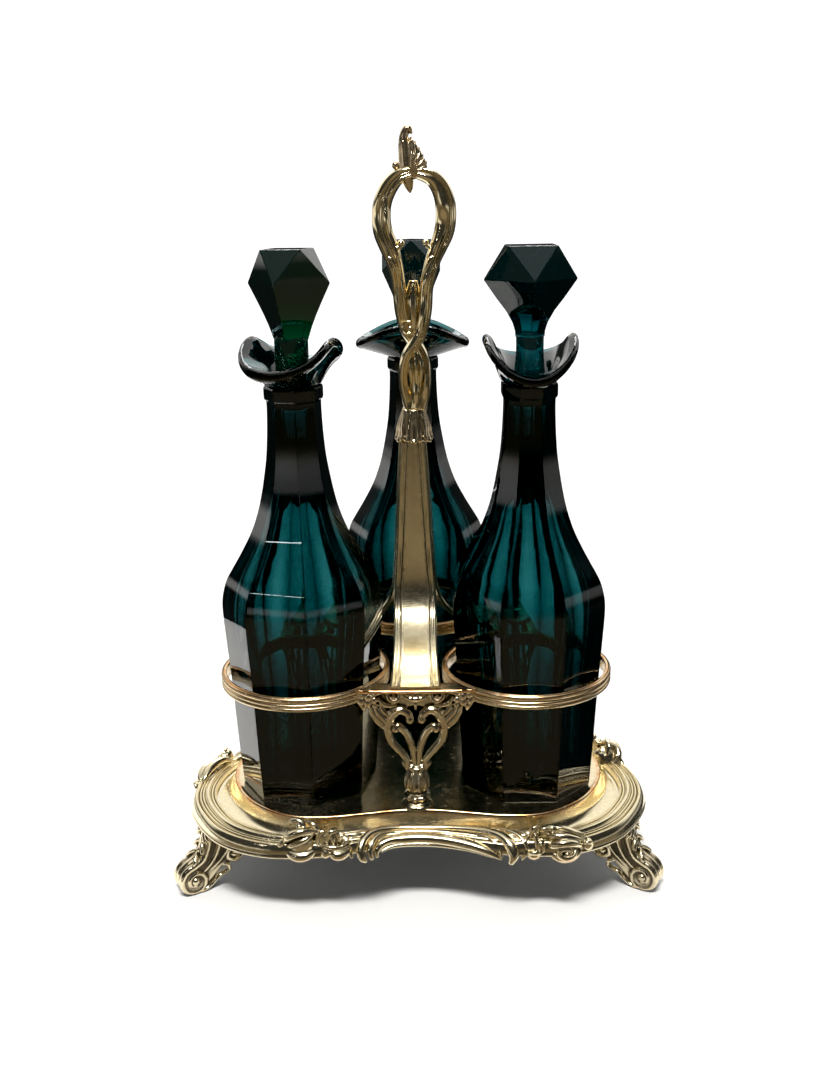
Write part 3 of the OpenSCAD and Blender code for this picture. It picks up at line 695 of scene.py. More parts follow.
def foot_shape():
    s = Shape()

    def P(x, t, z):
        return [x, t, z]

    # the leg's core, a slab in the radial plane
    side = curve([[123, 41], [122.2, 33], [122.6, 25], [125, 18.5], [129.5, 14.5], [134.5, 11.5], [139, 7.5], [143.5, 3.8], [149, 2.2], [154, 3.4],
                  [157, 7], [156.8, 11.4], [154, 14.6], [149.6, 17], [145.4, 20.4], [142.8, 26.4], [141.4, 34], [140.4, 39], [134, 41.5]], 3, closed=True)
    rows = []
    for t, k in ((-5.2, .86), (-4.9, .95), (-4.2, 1.0), (4.2, 1.0), (4.9, .95), (5.2, .86)):
        c = side.mean(0)
        rows.append([[c[0] + (x - c[0]) * (k if abs(t) > 4.5 else 1), t, c[1] + (z - c[1]) * (k if abs(t) > 4.5 else 1)] for x, z in side])
    s.rows(rows, flip=False)
    for sg in (-1, 1):
        t = 4.6 * sg
        up = (0, sg, 0)
        # three flutes down the leg, the outer one running over into the volute
        s.tube([P(139, t * .9, 39.5) + [1.7, 1.6], P(140.6, t, 33) + [1.9, 1.9], P(142.2, t, 26.5) + [2.0, 2.1], P(145.2, t, 20.6) + [2.2, 2.3], P(150, t, 17.6) + [2.2, 2.4], P(155, t, 15.4) + [2.0, 2.4], P(158.0, t, 11.4) + [1.8, 2.4],
                P(158.4, t, 7) + [1.6, 2.5], P(156.4, t, 3.2) + [1.5, 2.5], P(152.4, t, 1.6) + [1.4, 2.5], P(148.2, t, 2.2) + [1.3, 2.4], P(145.2, t * 1.03, 5.2) + [1.3, 2.3], P(145, t * 1.05, 9.4) + [1.2, 2.3],
                P(147.6, t * 1.08, 12.4) + [1.2, 2.2], P(151.6, t * 1.1, 12.6) + [1.1, 2.1], P(154.2, t * 1.14, 9.8) + [1.0, 2.0], P(153.8, t * 1.17, 6.6) + [1.0, 1.9], P(151, t * 1.2, 5.6) + [.9, 1.9]], n=10, per=4, up=up)
        s.ball(P(150.8, t * 1.32, 8.4), (2.3, 2.0, 2.3))
        s.tube([P(134, t * .85, 39.5) + [1.8, 1.4], P(134.4, t, 33) + [1.9, 1.8], P(135.6, t, 26.5) + [1.9, 2.0], P(138.4, t, 20.4) + [1.8, 2.0], P(142.6, t, 15.4) + [1.5, 1.8], P(146, t * .95, 12) + [1.0, 1.2]], n=10, per=4, up=up)
        s.tube([P(128.6, t * .8, 39.5) + [1.8, 1.3], P(127.8, t, 33.5) + [1.9, 1.8], P(128.6, t, 27.5) + [1.9, 1.9], P(131.6, t, 21.6) + [1.7, 1.9], P(136.4, t, 16.6) + [1.5, 1.7], P(141, t * .9, 12.6) + [1.0, 1.3]], n=10, per=4, up=up)
        # a small ring scroll on the inside, with a ball in it
        s.tube([P(125.6, t * .9, 30) + [1.4, 1.5], P(122.2, t, 26) + [1.6, 1.8], P(120.6, t, 21) + [1.7, 2.0], P(122.2, t, 16.2) + [1.7, 2.1], P(126.6, t, 14.4) + [1.6, 2.1], P(130.2, t, 17) + [1.4, 2.0], P(130, t, 21) + [1.2, 1.9], P(127, t, 22.8) + [1.0, 1.8]], n=10, per=4, up=up)
        s.ball(P(126.4, t * 1.15, 18.9), (2.2, 2.4, 2.2))
        # the ribbon under the leg, turned up at its end
        s.tube([P(133.4, t * .8, 13.4) + [1.0, 1.6], P(130.6, t, 12.6) + [1.3, 1.9], P(129.9, t, 10) + [1.4, 2.0], P(132.4, t, 8.2) + [1.3, 2.0], P(136, t, 7.4) + [1.2, 2.0], P(139.6, t, 4.6) + [1.2, 2.1], P(143.4, t, 2.0) + [1.2, 2.2], P(148, t, .95) + [1.0, 2.3]], n=10, per=4, up=up)
    # the outer face: a raised midrib with a leaf on each side
    s.tube([P(140.6, 0, 39) + [2.2, 1.4], P(142.4, 0, 32) + [2.4, 1.8], P(144.2, 0, 25.6) + [2.6, 2.0], P(148.2, 0, 19.8) + [2.9, 2.2], P(154, 0, 16.6) + [2.8, 2.0], P(158.0, 0, 12.4) + [2.4, 1.8], P(158.6, 0, 8) + [1.9, 1.2]], n=10, per=4, up=(1, 0, .4))
    for sg in (-1, 1):
        for x, z, dx, dz in ((142.6, 35, 1.6, -3.4), (144.4, 28.6, 2.0, -3.6), (148.4, 22.4, 3.0, -3.0)):
            s.tube([P(x - .6, sg * 1.6, z + 1.6) + [.8, .8], P(x + .5, sg * 3.4, z) + [1.4, 1.2], P(x + dx * .6, sg * 5.2, z + dz * .6) + [1.3, 1.2], P(x + dx, sg * 6.2, z + dz) + [.7, .8]], n=8, per=4)
    # the volute's barrel
    s.rows([[[151 + r * math.cos(q), t, 8.2 + r * math.sin(q)] for q in np.arange(40) * math.tau / 40] for t, r in ((-6.3, 5.0), (-6.2, 6.2), (-5.2, 7.0), (-2, 7.4), (2, 7.4), (5.2, 7.0), (6.2, 6.2), (6.3, 5.0))], flip=True)
    # a spreading leaf where the leg meets the border
    for q in (-1, 0, 1):
        s.tube([P(138, q * 3.0, 39.6) + [1.6, 1.2], P(141.6, q * 5.2, 37.6) + [2.0, 1.3], P(142.4, q * 7.0, 34.4) + [1.6, 1.1], P(141.8, q * 7.8, 32.2) + [.9, .8]], n=8, per=4)
    return s


def build_feet():
    base = bare("tmp_foot", foot_shape())
    cast(base, voxel=0.45, soft=1)
    me = base.data
    co = np.empty(len(me.vertices) * 3)
    me.vertices.foreach_get("co", co)
    co = co.reshape(-1, 3) / MM
    co[:, 2] = np.maximum(co[:, 2], 0.0)
    polys = [tuple(p.vertices) for p in me.polygons]
    one = Shape()
    one.add(co, polys, cu=sstep(2.4, 0.6, co[:, 2]) * .5)
    for a, nm in ((210, "left"), (330, "right"), (90, "back")):
        s = Shape().placed(math.radians(a), other=one)
        piece("scroll_foot_" + nm, s, "stand", ["foot_" + nm], M_FOOT, cav=24)
    bpy.data.objects.remove(base)


# ------------------------------------------------------------------ rings

def build_rings():
    z0, z1 = 115.1, 123.5
    sec = []  # [radius, z, copper]
    for r, z, c in ((45.4, 115.5, 0), (45.4, 119.3, .2), (45.4, 123.0, .9), (45.75, 123.5, 1), (46.6, 123.55, 1), (47.5, 123.45, .9)):
        sec.append((r, z, c))
    reeds = ((121.7, 1.65), (118.9, 1.25), (116.6, 1.35))
    for zc, h in reeds:
        for q in np.linspace(80, -80, 9):
            g = math.radians(q)
            sec.append((47.15 + 1.55 * math.cos(g), zc + h * math.sin(g), (.75 if zc > 121 else .28) * (0.5 + .5 * math.sin(g))))
    sec += [(46.8, 115.1, .1), (45.8, 115.1, 0)]
    q = np.arange(192) * math.tau / 192
    for nm, at in (("left", 210), ("right", 330), ("back", 90)):
        c = (73.7 * math.cos(math.radians(at)), 73.7 * math.sin(math.radians(at)))
        s = Shape()
        R = [np.stack([c[0] + r * np.cos(q), c[1] + r * np.sin(q), np.full(192, z)], 1) for r, z, _ in sec]
        cu = np.array([np.full(192, k) for *_, k in sec])
        s.rows(R, closed_u=True, cap=False, flip=True, cu=cu)
        piece("reeded_ring_" + nm, s, "stand", ["ring_" + nm], M_WORN, cav=4)


# ------------------------------------------------------------------ brackets

def bracket_shape():
    """In the bracket's plane: x across, y outward from the plane, z up."""
    s = Shape()

    def bar(pts, cu=0.0, y=0.0, depth=None):
        for m in (-1, 1):
            s.tube([[m * p[0], y + (p[3] if len(p) > 3 else 0), p[1], p[2] * 1.16, (depth or p[2])] for p in pts], n=12, per=5, up=(0, 1, 0), cu=cu)

    # the outer scroll: over the heart's shoulder and down to the knot
    bar([[-3.2, 105.2, 1.7, .6], [-4.4, 108.2, 1.9, .4], [-8.2, 110.4, 2.3, .2], [-12.4, 108.8, 2.7, 0], [-15.2, 103.8, 2.5, 0], [-16.1, 98, 2.2, 0], [-14.6, 92.4, 2.0, 0], [-11.2, 87.6, 1.9, 0], [-7.6, 83.2, 1.7, 0], [-5.2, 79.4, 1.5, 0], [-4.2, 75.6, 1.4, 0]], depth=2.4)
    # a fine ridge along it
    bar([[-5.4, 109.2, .5, 2.0], [-9.2, 111.2, .6, 2.1], [-13.2, 109.2, .7, 2.2], [-16.0, 103.8, .7, 2.1], [-16.9, 98, .6, 2.0], [-15.4, 92.2, .6, 1.9], [-11.9, 87.2, .5, 1.8]], depth=.7)
    s.ball([-3.3, 1.6, 104.8], (2.1, 1.9, 2.1))
    s.ball([3.3, 1.6, 104.8], (2.1, 1.9, 2.1))
    # the inner scroll
    bar([[-11.6, 99.2, 1.7, .8], [-10.2, 100.8, 1.9, .8], [-7.8, 99.0, 1.9, .4], [-5.4, 95.6, 1.8, 0], [-3.4, 91.2, 1.7, 0], [-2.0, 86, 1.5, 0], [-1.3, 80, 1.35, 0], [-1.1, 75, 1.3, 0]], depth=2.1)
    for m in (-1, 1):
        s.ball([m * 11.2, 1.4, 99.4], (2.2, 2.0, 2.2))
    # the wings outside
    bar([[-25.4, 113.2, 1.0, 0], [-24.0, 108.8, 1.7, .2], [-21.0, 104.8, 2.3, .4], [-17.8, 102.0, 2.1, .6], [-15.6, 99.4, 1.4, .8]], depth=1.8)
    bar([[-22.6, 112.6, .9, .4], [-20.6, 108.8, 1.5, .8], [-18.0, 105.8, 1.5, 1.0], [-16.2, 103.2, 1.0, 1.2]], depth=1.7)
    bar([[-19.4, 113.4, .9, .4], [-17.6, 110.2, 1.4, 1.0], [-15.4, 108.0, 1.1, 1.2]], depth=1.6)
    for m in (-1, 1):
        s.ball([m * 18.4, 1.0, 101.2], (1.7, 1.6, 1.6))
    # valance: corner leaves, curls, and a shell in the middle
    for m in (-1, 1):
        for x, z, r, y in ((-29.6, 119.8, 2.6, .6), (-30.0, 116.2, 2.3, .8), (-28.8, 112.8, 1.9, .6), (-26.4, 115.4, 2.4, 1.4), (-26.0, 119.0, 2.6, 1.4), (-23.0, 117.0, 2.2, 1.2), (-22.6, 113.6, 1.7, .8)):
            s.ball([m * -x, y, z], (r, r * .9, r))
        s.tube([[m * 31.4, .2, 121.6, 1.2, 1.4], [m * 31.6, .8, 117.6, 1.4, 1.6], [m * 30.0, .9, 113.8, 1.3, 1.5], [m * 28.6, .6, 110.8, .8, 1.0]], n=10, per=4, up=(0, 1, 0))
        s.tube([[m * 27.6, .8, 121.4, 1.2, 1.6], [m * 24.0, 1.6, 120.6, 1.4, 1.8], [m * 20.6, 1.0, 121.0, 1.1, 1.4], [m * 17.2, .6, 121.4, .9, 1.2]], n=10, per=4, up=(0, 1, 0))
        s.tube([[m * 15.2, .8, 121.6, 1.1, 1.5], [m * 15.0, 1.6, 118.6, 1.4, 1.8], [m * 12.2, 2.0, 116.6, 1.6, 1.9], [m * 9.2, 1.8, 117.8, 1.5, 1.8], [m * 9.0, 1.4, 120.2, 1.1, 1.5]], n=10, per=4, up=(0, 1, 0))
        s.ball([m * 12.0, 2.2, 119.2], (1.3, 1.3, 1.3))
        s.tube([[m * 20.4, .6, 117.6, 1.0, 1.2], [m * 17.8, 1.0, 114.6, 1.5, 1.5], [m * 14.4, .8, 113.4, 1.4, 1.3], [m * 11.2, .6, 113.6, 1.0, 1.0]], n=10, per=4, up=(0, 1, 0))
    s.tube([[-8.0, 1.4, 121.0, 1.1, 1.5], [-4.6, 2.2, 118.8, 1.5, 1.8], [0, 2.5, 118.0, 1.7, 1.9], [4.6, 2.2, 118.8, 1.5, 1.8], [8.0, 1.4, 121.0, 1.1, 1.5]], n=12, per=5, up=(0, 1, 0))
    for x in (-4.2, -1.4, 1.4, 4.2):
        s.tube([[x * .6, 1.6, 122.0, .9, 1.2], [x, 2.6, 120.6, 1.0, 1.3], [x * 1.15, 2.4, 118.6, .8, 1.0]], n=8, per=3, up=(0, 1, 0))
    s.tube([[0, 1.4, 117.6, 1.4, 1.2], [0, 1.6, 115, 1.0, 1.1], [0, 1.2, 111.6, .7, .8]], n=8, per=3, up=(0, 1, 0))
    s.ball([0, 2.0, 114.6], 1.2)
    # the plate behind the valance
    back = [[-27.4, 121.4], [-27.4, 117], [-24, 112.6], [-19, 109.6], [-13, 109.4], [-8, 110.8], [0, 113.2], [8, 110.8], [13, 109.4], [19, 109.6], [24, 112.6], [27.4, 117], [27.4, 121.4]]
    s.rows([[[x, y, z] for x, z in back] for y in (-2.3, -.6)], flip=False)
    # knot
    for m in (-1, 1):
        s.tube([[m * 2.0, 1.4, 76.4, 1.2, 1.3], [m * 4.8, 1.0, 77.0, 1.3, 1.3], [m * 7.2, .4, 77.9, 1.5, 1.4]], n=10, per=3, up=(0, 1, 0))
    for x in (-3.0, 0, 3.0):
        s.ball([x, 2.0, 75.4], (1.7, 1.5, 1.5))
    s.tube([[-5.2, 0, 75.6, 2.0, 2.2], [0, .4, 75.4, 2.2, 2.4], [5.2, 0, 75.6, 2.0, 2.2]], n=10, per=3, up=(0, 1, 0))
    return s


def bud_shape():
    s = Shape()
    prof = [[52, 0.5], [52, 8.2], [52.9, 8.6], [54.0, 8.0], [54.9, 6.6], [55.6, 6.0], [56.2, 6.4], [57, 7.3], [58.4, 7.6], [59.4, 7.0], [60.2, 5.4], [61, 4.8], [62.2, 5.4], [64, 6.2], [66, 6.6],
            [68.4, 6.3], [70.8, 5.4], [73, 4.4], [75, 4.0], [76, 3.0], [76.2, .4]]

    def mod(a, z, r):
        if z < 55.2:
            return r * (1 + .07 * abs(math.cos(3 * a + .3)) - .03)
        if z < 60.4:
            return r * (1 + .05 * math.cos(9 * a))
        k = 3 * a
        return r * (1 + .11 * (abs(math.cos(k)) ** .6 - .55) * sstep(60.5, 63.5, z) * (1 - .5 * sstep(70, 75, z)))

    s.turned(prof, n=72, mod=mod, per=3)
    # leaf tips curling out at the bud's foot, and small eyes between them
    for j in range(6):
        a = math.radians(60 * j)
        o, t = V3(math.cos(a), math.sin(a), 0), V3(-math.sin(a), math.cos(a), 0)
        for sg in (-1, 1):
            pts = [o * 5.0 + t * sg * .6 + V3(0, 0, 72.6), o * 6.4 + t * sg * 1.5 + V3(0, 0, 68.6), o * 6.6 + t * sg * 2.2 + V3(0, 0, 65.2), o * 5.6 + t * sg * 1.4 + V3(0, 0, 62.6)]
            s.tube([list(p) + [w, w] for p, w in zip(pts, (.6, .75, .75, .6))], n=8, per=3)
        a += math.radians(30)
        o = V3(math.cos(a), math.sin(a), 0)
        s.ball(o * 5.9 + V3(0, 0, 64.2), 1.1)
    return s


def build_brackets():
    flatpart = bare("tmp_br", bracket_shape())
    cast(flatpart, voxel=0.36, soft=1)
    bud = bare("tmp_bud", bud_shape())
    cast(bud, voxel=0.34, soft=1)
    both = Shape()
    for ob in (flatpart, bud):
        me = ob.data
        co = np.empty(len(me.vertices) * 3)
        me.vertices.foreach_get("co", co)
        both.add(co.reshape(-1, 3) / MM, [tuple(p.vertices) for p in me.polygons], cu=0.0)
        bpy.data.objects.remove(ob)
    V = np.vstack(both.V)
    V[:, 2] = np.clip(V[:, 2], 52.0, 121.0)
    both.V = [V]
    cu = sstep(1.2, 3.4, V[:, 1]) * sstep(80, 100, V[:, 2]) * .22
    both.A = {"cu": [cu]}
    for a, nm in ((270, "front"), (30, "right"), (150, "left")):
        # x across, y outward: the local y axis points to the angle a
        s = Shape().placed(math.radians(a - 90), shift=(72 * math.cos(math.radians(a)), 72 * math.sin(math.radians(a)), 0), other=both)
        piece("scroll_bracket_" + nm, s, "stand", ["bracket_" + nm], M_FOOT, cav=24)


def build_caps():
    """The copper-edged shelf over each bracket: two ring hollows and a bowed front lip."""
    for a, nm in ((270, "front"), (30, "right"), (150, "left")):
        t = math.radians(a)
        s = Shape()
        # in local axes: x across, y outward (radius)
        xs = np.linspace(-33, 33, 67)
        front = 76.6 + 0 * xs - .0016 * xs ** 2
        back = np.full_like(xs, 64.5)
        # keep clear of the rings, which lie at 120 degrees either side
        for i, x in enumerate(xs):
            for sg in (-1, 1):
                cx, cy = sg * 73.7 * math.sin(math.radians(60)), 73.7 * math.cos(math.radians(60))
                d = 48.9 ** 2 - (x - cx) ** 2
                if d > 0:
                    back[i] = max(back[i], cy + math.sqrt(d))
        ok = back < front - .3
        xs, front, back = xs[ok], front[ok], back[ok]
        rise = .7 * np.exp(-(xs / 9) ** 2)
        prof = []  # loops across the plate's section, from back to front and under
        for f, z, c in ((0, 121.1, 0), (0, 123.0, .5), (.05, 123.4, .7), (.35, 123.5, .35), (.7, 123.5, .5), (.9, 123.6, .9), (.97, 123.45, 1), (1.0, 122.9, 1), (1.0, 122.2, 1), (.96, 121.7, .8), (.9, 121.4, .4), (.5, 121.1, 0)):
            prof.append((f, z, c))
        rows, cu = [], []
        for i in range(len(xs)):
            w = sstep(.3, 1.0, 1.0)
            rows.append([[xs[i], back[i] + (front[i] - back[i]) * f, z - (rise[i] * 0)] for f, z, c in prof])
            cu.append([c for f, z, c in prof])
        s.rows(rows, cu=np.array(cu), flip=True)
        placed = Shape().placed(t - math.pi / 2, other=s)
        piece("bracket_shelf_" + nm, placed, "stand", ["bracket_cap_" + nm], M_WORN, sharp=50, cav=0)


# ------------------------------------------------------------------ arms

ARM_PATH = [[4.3, 247, 7], [4.9, 232, 8], [5.6, 210, 9.2], [6.3, 188, 10.4], [6.8, 172, 11.4], [8, 160, 12.4], [11, 151.5, 12.5], [17, 143.5, 12.5], [27, 135.6, 12.6],
            [40, 129, 12.8], [53, 125.6, 13.3], [66, 124.6, 13.8], [74, 124.5, 14]]


def build_arms():
    S = curve(ARM_PATH, 8)
    C = np.stack([S[:, 0], S[:, 1]], 1)
    T = np.gradient(C, axis=0)
    T /= np.linalg.norm(T, axis=1)[:, None]
    N = np.stack([-T[:, 1], T[:, 0]], 1)  # outward and up
    N[N[:, 0] + N[:, 1] < 0] *= -1
    L = len(S)
    arc = np.concatenate([[0], np.cumsum(np.linalg.norm(np.diff(C, axis=0), axis=1))])
    u = np.concatenate([np.linspace(-1, 1, 61)])
    for a, nm in ((270, "front"), (30, "right"), (150, "left")):
        s = Shape()
        rows = []
        for i in range(L):
            w = S[i, 2]
            # two reeds down each edge and a shallow dished panel between
            k = w / 10
            x = u * w
            e = w - np.abs(x)
            h = .95 * rib(e, 1.25, 1.25) + .85 * rib(e, 3.2 , .95) + .25 * rib(e, 4.7, .5)
            h = h + .35 * (np.clip(np.abs(x) / max(w - 5.2, 1), 0, 1)) ** 2 * (e > 5.2)
            fade = 1 - .85 * sstep(arc[-1] - 7, arc[-1], arc[i])
            top = .55 + h * (.45 + .55 * fade)
            r0, z0 = C[i]
            up = np.stack([x, r0 + N[i, 0] * top, z0 + N[i, 1] * top], 1)
            dn = np.stack([x[::-1] * .985, r0 - N[i, 0] * .9 * np.ones_like(x), z0 - N[i, 1] * .9 * np.ones_like(x)], 1)
            rows.append(np.vstack([up, dn]))
        rows = np.array(rows)
        rows[:, :, 2] = np.maximum(rows[:, :, 2], 123.55)
        s.rows(rows, cu=0.0)
        placed = Shape().placed(math.radians(a) - math.pi / 2, other=s)
        piece("arm_strap_" + nm, placed, "stand", ["arm_" + nm], M_RIM, sharp=65, cav=14)


# ------------------------------------------------------------------ handle

VINE_A = [[5, 0, 395.6, 3.4, 3.2], [12.5, 0, 392.8, 4.4, 3.6], [17.2, 0, 387.5, 5.2, 3.8], [19.8, 0, 380, 5.6, 4], [20.2, 0, 371.5, 5.7, 4], [19, 0, 364, 5.6, 4],
          [16, 0, 356.5, 5, 4], [13, -0.5, 349.5, 4.4, 4], [10.6, -1, 342, 4, 4], [9, -1.2, 333, 3.8, 4], [8.2, -1.5, 322, 3.8, 4], [6, -2.2, 311, 3.6, 3.6],
          [2, -2.6, 303.6, 3.6, 3.4], [-2.4, -2.4, 297, 3.2, 3.4], [-4.6, -1.5, 289, 2.8, 3.4], [-4.6, 0, 280, 2.7, 3.6], [-3, 0, 272.5, 3, 3.8], [-1, 0, 266.1, 3.4, 4]]
VINE_B = [[1, 0, 396, 3.2, 3.2], [-5, 0, 394, 4, 3.5], [-10.5, 0, 388.5, 4.8, 3.7], [-14.2, 0, 381, 5.1, 3.9], [-15.3, 0, 373, 5.2, 4], [-14.6, 0, 365, 5.4, 4],
          [-11.8, 0, 357.5, 5.4, 4], [-9, 0.5, 350, 4.8, 4], [-7.2, 1, 342, 4.2, 4], [-6, 1.2, 332, 4, 4], [-5, 1.5, 321, 3.9, 4], [-2.6, 2.2, 311, 3.6, 3.6],
          [2.4, 2.6, 303, 3.5, 3.4], [7, 2.4, 295.6, 3, 3.2], [8.8, 1.5, 288, 2.4, 3.2], [8.6, 0, 279, 2.4, 3.4], [7, 0, 272, 2.8, 3.6], [5, 0, 266.1, 3.2, 4]]
BUD = [[2.1, -0.3, 300.2, 2, 2.6], [2.4, -0.8, 294, 3.6, 4], [2.5, -1, 287.3, 4, 4.4], [2.5, -0.8, 279.4, 3.9, 4.2], [2.4, -0.5, 272.7, 3.8, 4.3], [2, -0.3, 266.8, 4.3, 4.7]]
WEB = [[1.7, 0.25, 338.3, 2.1, 1.6], [1.5, 0.3, 329.4, 4.3, 2.3], [1.6, 0.4, 317.5, 4.1, 2.5], [2.1, 0.3, 305.2, 3, 2.4]]


def strap(s, stations, ribs, inner=1, per=10):
    """A moulded band. ribs are [centre, half width, height, swell, start] across it, from the outside of the loop (-1) to the inside (1); swell is how far a rib rises and falls along its length."""
    S = curve(stations, per)
    C = S[:, :3]
    T = np.gradient(C, axis=0)
    T /= np.linalg.norm(T, axis=1)[:, None]
    arc = np.concatenate([[0], np.cumsum(np.linalg.norm(np.diff(C, axis=0), axis=1))])
    n = 80
    q = np.arange(n) * math.tau / n
    u, sv_ = np.cos(q), np.sin(q)
    rows = []
    for i in range(len(S)):
        side = unit(np.cross(T[i], V3(0, 1, 0))) * inner
        dep = unit(np.cross(side, T[i]))
        w, d = S[i, 3], S[i, 4]
        body = np.abs(sv_) ** .62 * d * .80
        h = np.zeros(n)
        for c, hw, k, amp, ph in ribs:
            h = np.maximum(h, (k + amp * math.sin(arc[i] / 3.3 + ph)) * rib(u, c, hw) ** 1.3)
        rows.append(C[i] + side * (u * w)[:, None] + dep * (np.sign(sv_) * (body + h * np.minimum(1, np.abs(sv_) * 2.0)))[:, None])
    s.rows(rows, cu=0.0)


def build_handle():
    s = Shape()
    strap(s, VINE_A, [(.30, .66, 1.9, .40, .4), (-.74, .24, 1.3, .15, 3.4)], inner=-1)
    strap(s, VINE_B, [(-.56, .42, 1.8, .40, 2.0), (.02, .14, .9, .1, .6), (.58, .40, 1.8, .40, 4.0)], inner=1)
    # curls and knobs inside the foot of the loop
    s.tube([[-12.6, -1.6, 360, .8, 1.4], [-9.4, -2.4, 356.4, 1.5, 1.8], [-6.2, -2.4, 356.2, 1.7, 1.8], [-4.6, -2.2, 358.2, 1.4, 1.6]], n=12, per=5, up=(0, 1, 0))
    s.ball([-4.7, -2.0, 358.4], (2.1, 2.1, 2.1))
    s.tube([[-12.2, 1.6, 360, .8, 1.2], [-9.0, 2.2, 356.6, 1.4, 1.5], [-6.2, 2.2, 356.8, 1.4, 1.5]], n=10, per=4, up=(0, 1, 0))
    s.tube([[14.2, -1.6, 357.4, .8, 1.2], [11.6, -2.2, 355.8, 1.2, 1.4], [9.4, -2.0, 357.2, 1.1, 1.3], [8.8, -1.8, 358.6, 1.0, 1.2]], n=10, per=4, up=(0, 1, 0))
    s.ball([8.9, -1.8, 358.9], (1.7, 1.7, 1.8))
    # leaf folds below the loop on each strap
    s.tube([[-13.2, -2.8, 352.5, .8, .9], [-9.6, -3.4, 349, 1.5, 1.3], [-7.2, -3.2, 343, 1.4, 1.2], [-6.6, -2.6, 336, .8, .8]], n=10, per=5)
    s.tube([[15.2, -3.0, 352.8, .8, .9], [11.8, -4.2, 350.4, 1.5, 1.3], [9.4, -4.4, 345.6, 1.6, 1.3], [7.2, -4.0, 340, 1.3, 1.1], [5.8, -3.2, 333.6, .8, .8]], n=10, per=5)
    # a small ring on the flat between the straps
    ring = [[-1.2 + 3.0 * math.cos(q), -2.9, 312.6 + 3.2 * math.sin(q), .95, .95] for q in np.linspace(.4, 6.0, 12)]
    s.tube(ring, n=10, per=3, up=(0, 1, 0))
    s.ball([-.6, -3.2, 312.2], (1.5, 1.2, 1.5))
    piece("handle_straps", s, "stand", ["handle_vine"], M_HANDLE, cav=8)

    s = Shape()
    n = 40
    q = np.arange(n) * math.tau / n

    def lumpy(stations, lobes, amp):
        S = curve(stations, 8)
        rows = []
        for x, y, z, w, d in S:
            m = 1 + amp * (np.abs(np.cos(lobes * q / 2)) - .6)
            rows.append(np.stack([x + w * m * np.cos(q), y + d * m * np.sin(q), np.full(n, z)], 1))
        s.rows(rows[::-1])
    lumpy(BUD, 5, .1)
    lumpy(WEB, 4, .12)
    # petals folding down over the bud
    for x0, w in ((-.6, 1.2), (2.6, 1.5), (5.4, 1.2)):
        s.tube([[1.6 + (x0 - 1.6) * .5, -3.4, 299.4, w * .6, .8], [x0, -5.0, 294, w, 1.0], [x0 + .1, -5.2, 287.4, w * 1.05, 1.0], [x0 * .8 + .6, -4.6, 281.6, w * .6, .8]], n=10, per=5, up=(0, 1, 0))
    s.tube([[2.2, -4.2, 283, 1.0, .9], [2.4, -4.7, 276, 2.1, 1.1], [2.2, -4.6, 270.4, 1.6, 1.0]], n=10, per=5, up=(0, 1, 0))
    # leaf on the flat between the straps, with a midrib
    s.tube([[1.6, -2.4, 336, .8, .7], [1.2, -3.0, 328, 2.4, 1.0], [1.4, -3.1, 319.4, 2.2, 1.1], [2.2, -2.6, 307, 1.2, .8]], n=12, per=5, up=(0, 1, 0))
    piece("handle_bud_core", s, "stand", ["handle_bud"], M_HANDLE, cav=8)

    # calyx: five leaves hugging the stem, their tips rolled out
    s = Shape()
    cx = .8
    prof = [[247.1, .5], [247.1, 7.0], [249.6, 8.4], [253, 9.0], [257, 8.4], [261, 7.0], [264.6, 6.2], [266.2, 5.6], [266.4, .5]]
    s.turned(prof, centre=(cx, 0), n=64, per=3)
    for j in range(6):
        a = math.radians(-90 + 60 * j)
        o, t = V3(math.cos(a), math.sin(a), 0), V3(-math.sin(a), math.cos(a), 0)
        for dx, w, z1 in ((-3.0, 1.5, 248.6), (0, 2.0, 247.8), (3.0, 1.5, 248.6)):
            pts = [(6.0, .3, 265.8, .7), (7.4, .6, 260.8, 1.0), (8.9, .85, 255.6, 1.0), (9.6, 1.0, 251.2, 1.0), (10.2, 1.0, z1 + .9, .8)]
            s.tube([list(V3(cx, 0, 0) + o * r + t * dx * k + V3(0, 0, z)) + [w * g, .9] for r, k, z, g in pts], n=10, per=5, up=tuple(o))
        tip = V3(cx, 0, 248.8) + o * 9.6
        s.ball(tip, (2.0, 2.0, 1.5))
        a2 = a + math.radians(30)
        o2 = V3(math.cos(a2), math.sin(a2), 0)
        s.ball(V3(cx, 0, 250.2) + o2 * 9.0, (1.5, 1.5, 1.9))
    s.turned([[266.9, .5], [266.6, 5.4], [265.4, 6.3], [263.6, 6.6], [262.4, 6.2], [262, .5]][::-1], centre=(cx + .4, 0), n=48, per=3)
    ob = bare("leaf_calyx", s)
    cast(ob, voxel=0.36, soft=1)
    me = ob.data
    me.attributes.new("cu", "FLOAT", "POINT")
    piece("leaf_calyx", ob, "stand", ["handle_calyx"], M_FINIAL, cav=24)

